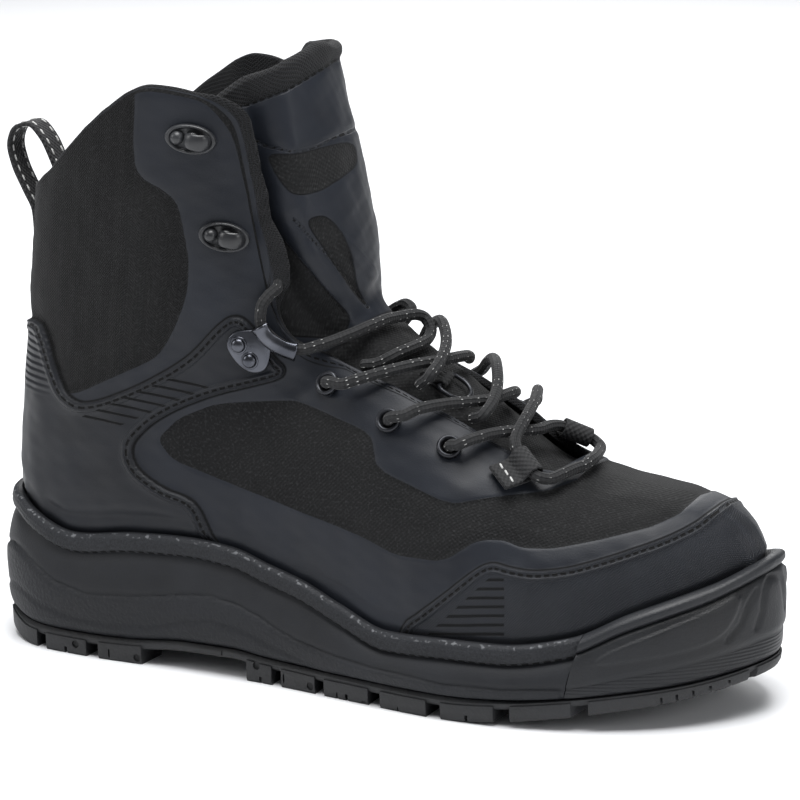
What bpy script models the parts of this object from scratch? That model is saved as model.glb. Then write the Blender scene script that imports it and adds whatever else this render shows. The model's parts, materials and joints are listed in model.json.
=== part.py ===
"""Wading boot for the right foot, standing empty on its sole.

The pieces are built at their real size in metres, +X to the toe, +Y to the inner
(medial) side and +Z up. Heights count from the floor, lengths from the back of the sole.
"""

import math

import bmesh
import bpy
import numpy as np
from mathutils import Matrix, Vector
from mathutils.bvhtree import BVHTree

# Driving sizes of the boot
SOLE_LENGTH = 0.318
BALL_WIDTH = 0.118
GAP = 0.0003

# Sole unit
SOLE_INSET = 0.0035
LIP_WALL = 0.003
LIP_BAND = 0.0075
FEATHER_RISE = 0.005
JOINT_TOP = 0.268
JOINT_FOOT = 0.256
PLATE_RISE = 0.0015

# Walls and linings
UPPER_WALL = 0.0026
OVERLAY_WALL = 0.0012
INSOLE_THICKNESS = 0.004
TONGUE_THICKNESS = 0.0055

COLUMNS = 48
ROWS = 12

# Outline of the sole's widest level: share of the length, share of half the ball width
SOLE_OUTLINE = (
    # x, lateral, medial
    (0.000, 0.00, 0.00),
    (0.018, 0.34, 0.33),
    (0.075, 0.61, 0.57),
    (0.160, 0.70, 0.66),
    (0.280, 0.72, 0.65),
    (0.400, 0.76, 0.65),
    (0.520, 0.87, 0.74),
    (0.640, 0.98, 0.89),
    (0.740, 0.98, 0.98),
    (0.840, 0.85, 0.94),
    (0.925, 0.58, 0.78),
    (0.980, 0.22, 0.48),
    (1.000, -0.12, 0.12),
)

# Heights of the sole by share of length: the lip, the floor inside it, the joint of
# midsole and tread, the root of the tread's lugs, and the lugs' faces
SOLE_HEIGHTS = (
    # x, lip, floor, joint, root, face
    (0.00, 0.0590, 0.0300, 0.0150, 0.0115, 0.0060),
    (0.04, 0.0580, 0.0290, 0.0110, 0.0075, 0.0012),
    (0.07, 0.0545, 0.0280, 0.0095, 0.0055, 0.0000),
    (0.14, 0.0480, 0.0270, 0.0090, 0.0050, 0.0000),
    (0.22, 0.0510, 0.0260, 0.0095, 0.0055, 0.0000),
    (0.30, 0.0520, 0.0250, 0.0115, 0.0075, 0.0000),
    (0.36, 0.0505, 0.0240, 0.0115, 0.0075, 0.0000),
    (0.41, 0.0460, 0.0230, 0.0100, 0.0060, 0.0000),
    (0.46, 0.0420, 0.0210, 0.0095, 0.0055, 0.0000),
    (0.51, 0.0360, 0.0190, 0.0090, 0.0050, 0.0000),
    (0.58, 0.0290, 0.0165, 0.0090, 0.0050, 0.0000),
    (0.66, 0.0300, 0.0150, 0.0090, 0.0050, 0.0000),
    (0.73, 0.0305, 0.0155, 0.0100, 0.0065, 0.0018),
    (0.81, 0.0350, 0.0175, 0.0125, 0.0095, 0.0055),
    (0.87, 0.0440, 0.0200, 0.0150, 0.0120, 0.0085),
    (0.92, 0.0500, 0.0220, 0.0170, 0.0140, 0.0110),
    (0.95, 0.0535, 0.0235, 0.0185, 0.0155, 0.0130),
    (1.00, 0.0620, 0.0260, 0.0215, 0.0190, 0.0170),
)

# Foot sections: top line and squareness of the upper across the foot
FOOT_SECTIONS = (
    # x, top line, squareness, ridge towards the inner side
    (0.05, 0.0700, 2.4, 0.000),
    (0.15, 0.0880, 2.4, 0.000),
    (0.28, 0.1120, 2.4, 0.002),
    (0.38, 0.1340, 2.5, 0.005),
    (0.48, 0.1365, 2.6, 0.007),
    (0.56, 0.1250, 2.6, 0.007),
    (0.64, 0.1090, 2.5, 0.007),
    (0.72, 0.0915, 2.4, 0.006),
    (0.78, 0.0850, 2.4, 0.006),
    (0.84, 0.0820, 2.4, 0.006),
    (0.90, 0.0795, 2.5, 0.006),
    (0.945, 0.0740, 2.5, 0.006),
    (0.965, 0.0680, 2.5, 0.006),
    (0.982, 0.0580, 2.4, 0.006),
)

# Shaft sections: level rings round the heel, ankle and leg
SHAFT_SECTIONS = (
    # z, back, front, half width
    (0.015, 0.0060, 0.120, 0.0365),
    (0.055, 0.0062, 0.130, 0.0370),
    (0.095, 0.0085, 0.150, 0.0360),
    (0.120, 0.0110, 0.160, 0.0365),
    (0.145, 0.0130, 0.150, 0.0385),
    (0.180, 0.0160, 0.139, 0.0415),
    (0.220, 0.0200, 0.131, 0.0450),
)

# Edge of the opening, from the back of the collar to the foot of the throat,
# and the inner point that each stretch is seen from
OPENING = (
    # x, z, axis x, axis z
    (0.0160, 0.178, 0.070, 0.176),
    (0.0230, 0.180, 0.070, 0.178),
    (0.0320, 0.186, 0.070, 0.184),
    (0.0450, 0.197, 0.072, 0.194),
    (0.0650, 0.214, 0.075, 0.208),
    (0.0850, 0.225, 0.080, 0.217),
    (0.1020, 0.2225, 0.084, 0.213),
    (0.1140, 0.212, 0.086, 0.203),
    (0.1175, 0.196, 0.087, 0.188),
    (0.1215, 0.172, 0.088, 0.164),
    (0.1260, 0.150, 0.092, 0.140),
    (0.1300, 0.1385, 0.098, 0.124),
    (0.1380, 0.129, 0.106, 0.108),
    (0.1490, 0.1245, 0.116, 0.094),
    (0.1625, 0.1205, 0.130, 0.084),
    (0.1850, 0.112, 0.150, 0.072),
    (0.2055, 0.102, 0.172, 0.060),
    (0.2190, 0.094, 0.188, 0.052),
    (0.2290, 0.0885, 0.202, 0.046),
    (0.2370, 0.0865, 0.214, 0.040),
)

# Tongue, from its end under the vamp to its top: the ray of each section's middle, the
# half angle of the section, its height over the upper's surface, its lean, and the
# share of the half angle that stays at that height
TONGUE_SECTIONS = (
    # axis x, axis z, middle x, middle z, half angle, lift, lean, crown
    (0.2220, 0.036, 0.2500, 0.086, 26, -0.0046, 0.00, 0.28),
    (0.2070, 0.044, 0.2330, 0.090, 30, -0.0044, 0.00, 0.28),
    (0.1860, 0.054, 0.2130, 0.098, 33, -0.0036, 0.00, 0.28),
    (0.1660, 0.064, 0.1940, 0.108, 37, -0.0030, 0.00, 0.28),
    (0.1440, 0.076, 0.1740, 0.118, 41, -0.0026, 0.00, 0.28),
    (0.1240, 0.092, 0.1580, 0.128, 44, -0.0010, 0.00, 0.28),
    (0.1080, 0.112, 0.1500, 0.140, 48, 0.0025, 0.00, 0.30),
    (0.0980, 0.134, 0.1480, 0.153, 52, 0.0062, 0.00, 0.38),
    (0.0920, 0.154, 0.1450, 0.166, 55, 0.0085, 0.00, 0.42),
    (0.0880, 0.174, 0.1410, 0.181, 57, 0.0092, 0.00, 0.42),
    (0.0855, 0.191, 0.1360, 0.196, 58, 0.0082, 0.04, 0.42),
    (0.0830, 0.206, 0.1320, 0.209, 58, 0.0062, 0.10, 0.42),
    (0.0815, 0.218, 0.1290, 0.220, 58, 0.0050, 0.17, 0.42),
    (0.0800, 0.227, 0.1260, 0.2285, 57, 0.0040, 0.24, 0.42),
)
TONGUE_FALL = 0.27
TONGUE_CLEARANCE = 0.0018

# Side outlines that cut the overlays out of the upper's own surface; each one is
# closed along the sole's lip or across the open throat
COUNTER_EDGE = (
    # x, z
    (-0.020, 0.1305),
    (0.0200, 0.1300),
    (0.0260, 0.1280),
    (0.0305, 0.1212),
    (0.0350, 0.1090),
    (0.0400, 0.1017),
    (0.0470, 0.0989),
    (0.0570, 0.1014),
    (0.0730, 0.1087),
    (0.0890, 0.1176),
    (0.0980, 0.1243),
    (0.1070, 0.1350),
    (0.1125, 0.1390),
    (0.1170, 0.1390),
    (0.1210, 0.1360),
    (0.1300, 0.1230),
    (0.1330, 0.1200),
    (0.1315, 0.1163),
    (0.1215, 0.1130),
    (0.1070, 0.1090),
    (0.0910, 0.1020),
    (0.0795, 0.0950),
    (0.0720, 0.0870),
    (0.0710, 0.0820),
    (0.0740, 0.0765),
    (0.0840, 0.0700),
    (0.0950, 0.0670),
    (0.0995, 0.0630),
    (0.1050, 0.0530),
)
CAP_EDGE = (
    # x, z
    (0.1875, 0.0312),
    (0.2045, 0.0433),
    (0.2200, 0.0568),
    (0.2260, 0.0598),
    (0.2330, 0.0582),
    (0.2415, 0.0574),
    (0.2535, 0.0591),
    (0.2665, 0.0632),
    (0.2825, 0.0689),
    (0.2900, 0.0723),
    (0.2930, 0.0758),
    (0.2935, 0.1000),
)
EYESTAY_EDGE = (
    # x, z
    (0.0786, 0.2500),
    (0.0786, 0.2205),
    (0.0767, 0.1960),
    (0.0800, 0.1900),
    (0.0880, 0.1865),
    (0.0940, 0.1810),
    (0.0970, 0.1620),
    (0.0958, 0.1460),
    (0.0925, 0.1360),
    (0.0975, 0.1290),
    (0.1050, 0.1365),
    (0.1115, 0.1410),
    (0.1180, 0.1410),
    (0.1228, 0.1372),
    (0.1312, 0.1245),
    (0.1350, 0.1205),
    (0.1350, 0.1130),
    (0.1400, 0.1078),
    (0.1720, 0.1002),
    (0.1750, 0.0890),
    (0.2070, 0.0783),
    (0.2195, 0.0810),
    (0.2380, 0.0822),
    (0.2480, 0.0830),
    (0.2480, 0.2500),
)
OVERLAY_SEAT = 0.0008

# Tread lugs in plan: along the edge (start, end, slant, reach inwards as a share of half
# the ball width), and the inner lugs (middle x, middle y, length, width)
EDGE_LUGS = (
    # x start, x end, slant, reach
    (0.022, 0.085, 0.000, 0.38),
    (0.100, 0.160, 0.000, 0.40),
    (0.175, 0.235, 0.004, 0.36),
    (0.430, 0.485, -0.010, 0.34),
    (0.500, 0.562, -0.008, 0.38),
    (0.577, 0.640, -0.004, 0.42),
    (0.655, 0.722, 0.004, 0.42),
    (0.737, 0.805, 0.014, 0.40),
)
INNER_LUGS = (
    # x, y, length, width
    (0.130, 0.00, 0.060, 0.30),
    (0.205, 0.00, 0.050, 0.34),
    (0.475, 0.16, 0.048, 0.34),
    (0.535, -0.20, 0.050, 0.40),
    (0.600, 0.18, 0.052, 0.42),
    (0.660, -0.22, 0.054, 0.42),
    (0.725, 0.24, 0.052, 0.40),
    (0.775, -0.18, 0.050, 0.34),
)
TOE_PLATES = (
    # inner x, inner y, outer x, outer y, in pairs of corners going round
    ((0.830, -0.42), (0.845, -0.12), (1.030, -0.16), (1.000, -0.90), (0.835, -1.10)),
    ((0.845, -0.06), (0.845, 0.34), (0.960, 0.80), (1.050, 0.80), (1.050, -0.10)),
    ((0.838, 0.42), (0.830, 1.20), (0.940, 1.20), (0.950, 0.88)),
)


# Hardware of each side, by its place seen from the side
EYELETS = (
    # x, z
    (0.1508, 0.1151),
    (0.1775, 0.1044),
    (0.2011, 0.0963),
)
SPEED_HOOKS = (
    # x, z
    (0.1001, 0.2067),
    (0.1112, 0.1698),
)
LOCK_HOOK = (0.1195, 0.1262)
HARDWARE_GAP = 0.00035
EYELET_RADIUS = 0.0038
EYELET_WIRE = 0.0009
HOOK_LENGTH = 0.0195
HOOK_WIDTH = 0.0112
HOOK_BASE = 0.0014
LOCK_PLATE = 0.0012
RIVET_RADIUS = 0.0028

# Lace, webbing and the ring on the tongue
LACE_RADIUS = 0.0022
LACE_HOLE = LACE_RADIUS + 0.0006
WEBBING_WALL = 0.0010
LACE_LOOP_WIDTH = 0.0115
LACE_LOOP_TAIL = 0.0085
LACE_LOOPS = (
    # x, y, turn towards the toe in degrees
    (0.2268, -0.0225, -26),
    (0.2300, 0.0150, 34),
)
TAB_PLACE = (0.1892, -0.0090)
TAB_WIDTH = 0.0085
TAB_TAIL = 0.0065
RING_WIRE = 0.0009
RING_WIDTH = 0.0132
RING_DEPTH = 0.0112
PULL_WIDTH = 0.0120
PULL_WALL = 0.0016
PULL_PATH = (
    # x, z
    (0.0123, 0.1500),
    (0.0124, 0.1580),
    (0.0118, 0.1660),
    (0.0077, 0.1745),
    (0.0030, 0.1840),
    (0.0012, 0.1915),
    (0.0034, 0.1980),
    (0.0096, 0.2003),
    (0.0155, 0.1955),
    (0.0196, 0.1880),
    (0.0222, 0.1815),
    (0.0232, 0.1750),
    (0.0230, 0.1680),
)

# Lace runs over the instep, by place in plan and height of the lace's middle over the
# upper's surface. Each crossing has a strand from the inner side that lies on top.
LACE_CROSSINGS = (
    (
        ((0.2165, -0.0060, 0.0080), (0.2140, 0.0060, 0.0078), (0.2100, 0.0180, 0.0074),
         (0.2065, 0.0270, 0.0070), (0.2045, 0.0315, 0.0068)),
        ((0.2215, 0.0010, 0.0042), (0.2164, -0.0116, 0.0038), (0.2114, -0.0212, 0.0048),
         (0.2072, -0.0282, 0.0068), (0.2045, -0.0312, 0.0068)),
    ),
    (
        ((0.2040, -0.0185, 0.0016), (0.2062, -0.0190, 0.0050), (0.2066, -0.0140, 0.0068),
         (0.2049, -0.0060, 0.0072), (0.1970, 0.0110, 0.0074), (0.1890, 0.0240, 0.0072),
         (0.1840, 0.0290, 0.0068)),
        ((0.2040, 0.0205, 0.0012), (0.2062, 0.0110, 0.0032), (0.2052, -0.0050, 0.0038),
         (0.2010, -0.0140, 0.0038), (0.1935, -0.0233, 0.0046), (0.1880, -0.0285, 0.0064),
         (0.1835, -0.0318, 0.0068)),
    ),
    (
        ((0.1835, -0.0205, 0.0016), (0.1853, -0.0200, 0.0050), (0.1856, -0.0130, 0.0070),
         (0.1835, -0.0040, 0.0074), (0.1740, 0.0120, 0.0076), (0.1640, 0.0235, 0.0074),
         (0.1580, 0.0280, 0.0068)),
        ((0.1850, 0.0205, 0.0012), (0.1875, 0.0110, 0.0030), (0.1855, -0.0040, 0.0038),
         (0.1812, -0.0130, 0.0038), (0.1750, -0.0205, 0.0044), (0.1674, -0.0262, 0.0054),
         (0.1610, -0.0290, 0.0066), (0.1582, -0.0296, 0.0068)),
    ),
)
# The two free ends, in space. The outer one comes from under its own edge of the throat,
# turns back over the tongue and runs through its hook; the inner one shows only its turn.
LACE_END_OUTER = (
    (0.1607, -0.0215, 0.1212),
    (0.1641, -0.0200, 0.1222),
    (0.1679, -0.0175, 0.1236),
    (0.1711, -0.0120, 0.1249),
    (0.1736, -0.0050, 0.1260),
    (0.1744, 0.0040, 0.1268),
    (0.1739, 0.0105, 0.1286),
    (0.1730, 0.0135, 0.1306),
    (0.1708, 0.0145, 0.1336),
    (0.1688, 0.0125, 0.1353),
    (0.1669, 0.0095, 0.1361),
    (0.1641, 0.0030, 0.1361),
    (0.1611, -0.0040, 0.1354),
    (0.1591, -0.0130, 0.1349),
    (0.1558, -0.0190, 0.1335),
    (0.1512, -0.0225, 0.1315),
    (0.1465, -0.0265, 0.1297),
    (0.1426, -0.0305, 0.1286),
)
LACE_END_INNER = (
    (0.1540, 0.0215, 0.1262),
    (0.1568, 0.0245, 0.1300),
    (0.1588, 0.0265, 0.1332),
    (0.1578, 0.0278, 0.1356),
    (0.1542, 0.0300, 0.1352),
    (0.1502, 0.0315, 0.1332),
    (0.1465, 0.0320, 0.1308),
    (0.1430, 0.0318, 0.1290),
)
# Way through the locking hook and up the outer side, mirrored for the inner one
HOOK_RUN = (
    (0.1393, -0.0330, 0.1282),
    (0.1362, -0.0343, 0.1290),
    (0.1327, -0.0356, 0.1308),
    (0.1290, -0.0366, 0.1337),
    (0.1267, -0.0372, 0.1374),
    (0.1258, -0.0372, 0.1408),
    (0.1265, -0.0368, 0.1442),
    (0.1274, -0.0348, 0.1473),
    (0.1300, -0.0324, 0.1500),
    (0.1310, -0.0302, 0.1527),
    (0.1305, -0.0288, 0.1556),
    (0.1296, -0.0282, 0.1581),
    (0.1280, -0.0280, 0.1606),
)
HORN_POINTS = 5
HORN_INNER = 0.0030
HORN_WALL = 0.0010
LACE_BIGHT = (
    (0.2420, -0.0120, 0.0030),
    (0.2445, -0.0030, 0.0028),
    (0.2430, 0.0070, 0.0032),
)


def smooth(x, xs, ys):
    """Value at x of a smooth curve through a table, with no overshoot (monotone cubic)."""
    xs = np.asarray(xs, float)
    ys = np.asarray(ys, float)
    x = np.clip(np.asarray(x, float), xs[0], xs[-1])
    step = np.diff(xs)
    slope = np.diff(ys) / step
    tangent = np.empty_like(ys)
    tangent[0], tangent[-1] = slope[0], slope[-1]
    same_way = slope[:-1] * slope[1:] > 0
    weight_a = 2 * step[1:] + step[:-1]
    weight_b = step[1:] + 2 * step[:-1]
    safe_a = np.where(same_way, slope[:-1], 1.0)
    safe_b = np.where(same_way, slope[1:], 1.0)
    mean = (weight_a + weight_b) / (weight_a / safe_a + weight_b / safe_b)
    tangent[1:-1] = np.where(same_way, mean, 0.0)
    i = np.clip(np.searchsorted(xs, x, side="right") - 1, 0, len(step) - 1)
    t = (x - xs[i]) / step[i]
    return (
        ys[i] * (1 + 2 * t) * (1 - t) ** 2
        + step[i] * tangent[i] * t * (1 - t) ** 2
        + ys[i + 1] * t * t * (3 - 2 * t)
        - step[i] * tangent[i + 1] * t * t * (1 - t)
    )


def curve_through(points, count):
    """Points spread evenly by length along a smooth open curve through the given points."""
    p = np.asarray(points, float)
    chord = np.linalg.norm(np.diff(p, axis=0), axis=1)
    at = np.concatenate([[0.0], np.cumsum(chord)])
    fine = np.linspace(0, at[-1], 40 * len(p))
    dense = np.column_stack([smooth(fine, at, p[:, k]) for k in range(p.shape[1])])
    run = np.concatenate([[0.0], np.cumsum(np.linalg.norm(np.diff(dense, axis=0), axis=1))])
    wanted = np.linspace(0, run[-1], count)
    return np.column_stack([np.interp(wanted, run, dense[:, k]) for k in range(p.shape[1])])


def closed_spline(points, samples):
    """Dense points of a rounded closed curve through the given points (centripetal)."""
    p = np.asarray(points, float)
    m = len(p)
    d = np.sqrt(np.linalg.norm(np.roll(p, -1, 0) - p, axis=1))
    out = []
    for i in range(m):
        p0, p1, p2, p3 = p[i - 1], p[i], p[(i + 1) % m], p[(i + 2) % m]
        t1 = 0.0
        t0, t2 = -d[i - 1], d[i]
        t3 = t2 + d[(i + 1) % m]
        for t in np.linspace(0, t2, samples, endpoint=False):
            a1 = (t1 - t) / (t1 - t0) * p0 + (t - t0) / (t1 - t0) * p1
            a2 = (t2 - t) / (t2 - t1) * p1 + (t - t1) / (t2 - t1) * p2
            a3 = (t3 - t) / (t3 - t2) * p2 + (t - t2) / (t3 - t2) * p3
            b1 = (t2 - t) / (t2 - t0) * a1 + (t - t0) / (t2 - t0) * a2
            b2 = (t3 - t) / (t3 - t1) * a2 + (t - t1) / (t3 - t1) * a3
            out.append((t2 - t) / (t2 - t1) * b1 + (t - t1) / (t2 - t1) * b2)
    return np.array(out)


def sole_outline(columns=COLUMNS):
    """The sole's outline, columns points from the heel's back along the outer side to the toe and back."""
    lateral = [(x * SOLE_LENGTH, -w * BALL_WIDTH / 2) for x, w, _ in SOLE_OUTLINE]
    medial = [(x * SOLE_LENGTH, w * BALL_WIDTH / 2) for x, _, w in SOLE_OUTLINE]
    loop = lateral + medial[-2:0:-1]
    toe = len(lateral) - 1
    dense = closed_spline(loop, 24)
    halves = (dense[: toe * 24 + 1], np.vstack([dense[toe * 24 :], dense[:1]]))
    out = []
    for half in halves:
        run = np.concatenate([[0], np.cumsum(np.linalg.norm(np.diff(half, axis=0), axis=1))])
        wanted = np.linspace(0, run[-1], columns // 2 + 1)[:-1]
        out.append(np.column_stack([np.interp(wanted, run, half[:, k]) for k in (0, 1)]))
    return np.vstack(out)


def inset(outline, distance):
    """The outline moved inwards by a distance, one value or one for each point."""
    along = np.roll(outline, -1, 0) - np.roll(outline, 1, 0)
    along /= np.linalg.norm(along, axis=1)[:, None]
    inward = np.column_stack([-along[:, 1], along[:, 0]])
    return outline + inward * np.broadcast_to(distance, len(outline))[:, None]


LIP, FLOOR, JOINT, ROOT, FACE = 1, 2, 3, 4, 5


def sole_height(column, x):
    table = np.array(SOLE_HEIGHTS)
    return smooth(np.asarray(x) / SOLE_LENGTH, table[:, 0], table[:, column])


UPPER_INSET = SOLE_INSET + LIP_WALL + 2 * GAP


def upper_half_widths(x):
    """Half widths of the upper's foot at x, on the outer and the inner side."""
    line = inset(sole_outline(), UPPER_INSET)
    toe = COLUMNS // 2
    lateral = line[: toe + 1]
    medial = np.vstack([line[toe:], line[:1]])[::-1]
    wide = []
    for side in (lateral, medial):
        order = np.maximum.accumulate(side[:, 0])
        wide.append(np.interp(x, order + np.arange(len(order)) * 1e-9, np.abs(side[:, 1])))
    return wide


_HALF_X = np.linspace(0.0, SOLE_LENGTH, 400)
_HALF_LATERAL, _HALF_MEDIAL = upper_half_widths(_HALF_X)


def past_ends(x):
    """Distance beyond the heel or toe end of the upper, negative between them."""
    return np.maximum(x - (SOLE_LENGTH - UPPER_INSET), UPPER_INSET - x)


def foot_form(p):
    """Ratio of a point's distance to the foot's surface, 1 on it, across upright sections."""
    x, y, z = p[:, 0], p[:, 1], p[:, 2]
    table = np.array(FOOT_SECTIONS)
    share = x / SOLE_LENGTH
    top = smooth(share, table[:, 0], table[:, 1])
    power = smooth(share, table[:, 0], table[:, 2])
    ridge = smooth(share, table[:, 0], table[:, 3])
    lateral = np.interp(x, _HALF_X, _HALF_LATERAL) + ridge
    medial = np.interp(x, _HALF_X, _HALF_MEDIAL) - ridge
    y = y - ridge
    wide = np.maximum(np.where(y < 0, lateral, medial), 0.0015)
    low = sole_height(FLOOR, x) + 0.012
    rise = np.maximum(z - low, 0) / np.maximum(top - low, 0.004)
    ratio = (np.abs(y / wide) ** power + rise**power) ** (1 / power)
    return np.maximum(ratio, 1 + past_ends(x) / 0.03)


def cup_form(p):
    """Keeps the upper inside the sole's lip, and lets go of it above the lip."""
    x, y, z = p[:, 0], p[:, 1], p[:, 2]
    wide = np.where(y < 0, np.interp(x, _HALF_X, _HALF_LATERAL), np.interp(x, _HALF_X, _HALF_MEDIAL))
    above = np.maximum(z - sole_height(LIP, x) - 0.007, 0)
    wide = np.maximum(wide - GAP, 0.0015)
    return np.maximum(np.abs(y) / wide - 1, past_ends(x) / 0.03) - above / 0.06


def shaft_form(p):
    x, y, z = p[:, 0], p[:, 1], p[:, 2]
    table = np.array(SHAFT_SECTIONS)
    back, front, half = (smooth(z, table[:, 0], table[:, k]) for k in (1, 2, 3))
    centre = (back + front) / 2
    reach = (front - back) / 2
    power = 2.25
    return (np.abs((x - centre) / reach) ** power + np.abs(y / half) ** power) ** (1 / power)


BLEND = 0.10


def upper_form(p):
    """Below 1 inside the upper's outer surface and above 1 outside: foot and shaft, blended."""
    foot = foot_form(p) - 1
    shaft = shaft_form(p) - 1
    h = np.clip(0.5 + 0.5 * (shaft - foot) / BLEND, 0, 1)
    boot = shaft * (1 - h) + foot * h - BLEND * h * (1 - h)
    return np.maximum(boot, cup_form(p))


def cast(start, guide):
    """Where rays from start through guide leave the upper's form."""
    way = guide - start
    low = np.zeros(len(way))
    high = np.full(len(way), 2.2)
    for _ in range(34):
        middle = (low + high) / 2
        inside = upper_form(start + way * middle[:, None]) < 0
        low = np.where(inside, middle, low)
        high = np.where(inside, high, middle)
    return start + way * low[:, None]


def form_normals(p, step=0.0015):
    """Outward normals of the upper's form at points near it."""
    slope = np.zeros_like(p)
    for k in range(3):
        shift = np.zeros(3)
        shift[k] = step
        slope[:, k] = upper_form(p + shift) - upper_form(p - shift)
    return slope / np.linalg.norm(slope, axis=1)[:, None]


def opening_edge(columns=COLUMNS):
    """Edge of the collar and throat for each column, and the inner points it is seen from."""
    half = curve_through(OPENING, columns // 2 + 1)
    flat = np.vstack([half, half[-2:0:-1]])
    side = np.ones(columns)
    side[: columns // 2 + 1] = -1
    at = flat[:, [0, 1]]
    start = np.column_stack([flat[:, 2], np.zeros(columns), flat[:, 3]])
    edge = np.column_stack([at[:, 0], np.zeros(columns), at[:, 1]])
    low = np.zeros(columns)
    high = np.full(columns, 0.08)
    for _ in range(34):
        middle = (low + high) / 2
        edge[:, 1] = middle * side
        inside = upper_form(edge) < 0
        low = np.where(inside, middle, low)
        high = np.where(inside, high, middle)
    edge[:, 1] = low * side
    for middle in (0, columns // 2):
        edge[middle, 1] = 0.0
        edge[middle] = cast(start[middle : middle + 1], edge[middle : middle + 1])[0]
    return edge, start


def upper_surface(columns=COLUMNS, rows=ROWS):
    """Grid of points of the upper's outer surface, [row, column, xyz], feather line first."""
    line = inset(sole_outline(columns), UPPER_INSET)
    base = np.column_stack([line, sole_height(FLOOR, line[:, 0]) + GAP])
    edge, edge_start = opening_edge(columns)
    base_start = np.column_stack(
        [np.clip(base[:, 0], 0.050, 0.262), np.zeros(columns), base[:, 2] + 0.006]
    )
    grid = [base, base + np.array([0, 0, FEATHER_RISE])]
    for v in np.linspace(0, 1, rows + 1)[1:-1]:
        guide = base * (1 - v) + edge * v
        start = base_start * (1 - v) + edge_start * v
        grid.append(cast(start, guide))
    grid.append(edge)
    return np.array(grid)


def clear_scene():
    for item in list(bpy.data.objects):
        bpy.data.objects.remove(item, do_unlink=True)


def material(name, colour, roughness, metallic=0.0):
    made = bpy.data.materials.new(name)
    made.use_nodes = True
    shader = made.node_tree.nodes["Principled BSDF"]
    shader.inputs["Base Color"].default_value = (*colour, 1)
    shader.inputs["Roughness"].default_value = roughness
    shader.inputs["Metallic"].default_value = metallic
    return made


def add_object(name, points, faces, collection, finish=None):
    mesh = bpy.data.meshes.new(name)
    mesh.from_pydata([tuple(p) for p in points], [], faces)
    made = bpy.data.objects.new(name, mesh)
    collection.objects.link(made)
    if finish:
        mesh.materials.append(finish)
    return made


def ring_faces(rows, columns, closed=True):
    """Faces between neighbouring rings, outwards for rings that go up and anticlockwise.

    They are triangles, so that two skins made from one grid keep the same flats.
    """
    faces = []
    for r in range(rows - 1):
        for c in range(columns if closed else columns - 1):
            d = (c + 1) % columns
            low, high = r * columns, (r + 1) * columns
            faces.append((low + c, low + d, high + d))
            faces.append((low + c, high + d, high + c))
    return faces


def ladder_cap(first, columns, down):
    """Closes a ring across, each point to its partner on the other side of the boot."""
    faces = []
    for i in range(columns // 2):
        quad = [first + i, first + i + 1, first + (columns - i - 1) % columns, first + (columns - i) % columns]
        quad = list(dict.fromkeys(quad))
        faces.append(quad[::-1] if down else quad)
    return faces


def loft(name, rings, collection, finish=None):
    """A closed solid through rings of points, from the lowest outer ring round to the last."""
    columns = len(rings[0])
    faces = ring_faces(len(rings), columns)
    faces += ladder_cap(0, columns, down=True)
    faces += ladder_cap((len(rings) - 1) * columns, columns, down=False)
    return add_object(name, np.vstack(rings), faces, collection, finish)


def sole_ring(outline, shift, height):
    line = inset(outline, shift)
    return np.column_stack([line, height(line[:, 0]) if callable(height) else height])


def boolean(target, tool, operation):
    step = target.modifiers.new(operation.title(), "BOOLEAN")
    step.operation = operation
    step.object = tool
    step.solver = "EXACT"


def hide(tool):
    tool.hide_render = True
    tool.display_type = "WIRE"
    return tool


def flat_outline(name, loops, depth, turn, place, collection):
    """Solid of one or more flat outlines, drawn as a curve, extruded and turned into place."""
    curve = bpy.data.curves.new(name, "CURVE")
    curve.dimensions = "2D"
    curve.fill_mode = "BOTH"
    curve.extrude = depth / 2
    for loop in loops:
        spline = curve.splines.new("POLY")
        spline.points.add(len(loop) - 1)
        for point, (x, y) in zip(spline.points, loop):
            point.co = (x, y, 0, 1)
        spline.use_cyclic_u = True
    return curve_to_mesh(name, curve, Matrix.Translation(place) @ turn, collection)


def curve_to_mesh(name, curve, place, collection, finish=None):
    """The curve's solid as a closed mesh, its loose caps welded."""
    sketch = bpy.data.objects.new(name + "_sketch", curve)
    collection.objects.link(sketch)
    ready = sketch.evaluated_get(bpy.context.evaluated_depsgraph_get())
    mesh = bpy.data.meshes.new_from_object(ready)
    shape = bmesh.new()
    shape.from_mesh(mesh)
    bmesh.ops.remove_doubles(shape, verts=shape.verts, dist=0.00001)
    bmesh.ops.recalc_face_normals(shape, faces=shape.faces)
    shape.to_mesh(mesh)
    shape.free()
    made = bpy.data.objects.new(name, mesh)
    made.matrix_world = place
    collection.objects.link(made)
    bpy.data.objects.remove(sketch)
    if finish:
        mesh.materials.clear()
        mesh.materials.append(finish)
    return made


UPRIGHT = Matrix.Rotation(math.pi / 2, 4, "X")


def side_prism(name, outline, collection):
    """Cutter whose outline is given from the side, wide enough for the whole boot."""
    return hide(flat_outline(name, [outline], 0.3, UPRIGHT, (0, 0, 0), collection))


def lip_line(x_from, x_to, rise, steps=24):
    xs = np.linspace(x_from, x_to, steps)
    return [(x, z) for x, z in zip(xs, sole_height(LIP, np.clip(xs, 0, SOLE_LENGTH)) + rise)]


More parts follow.
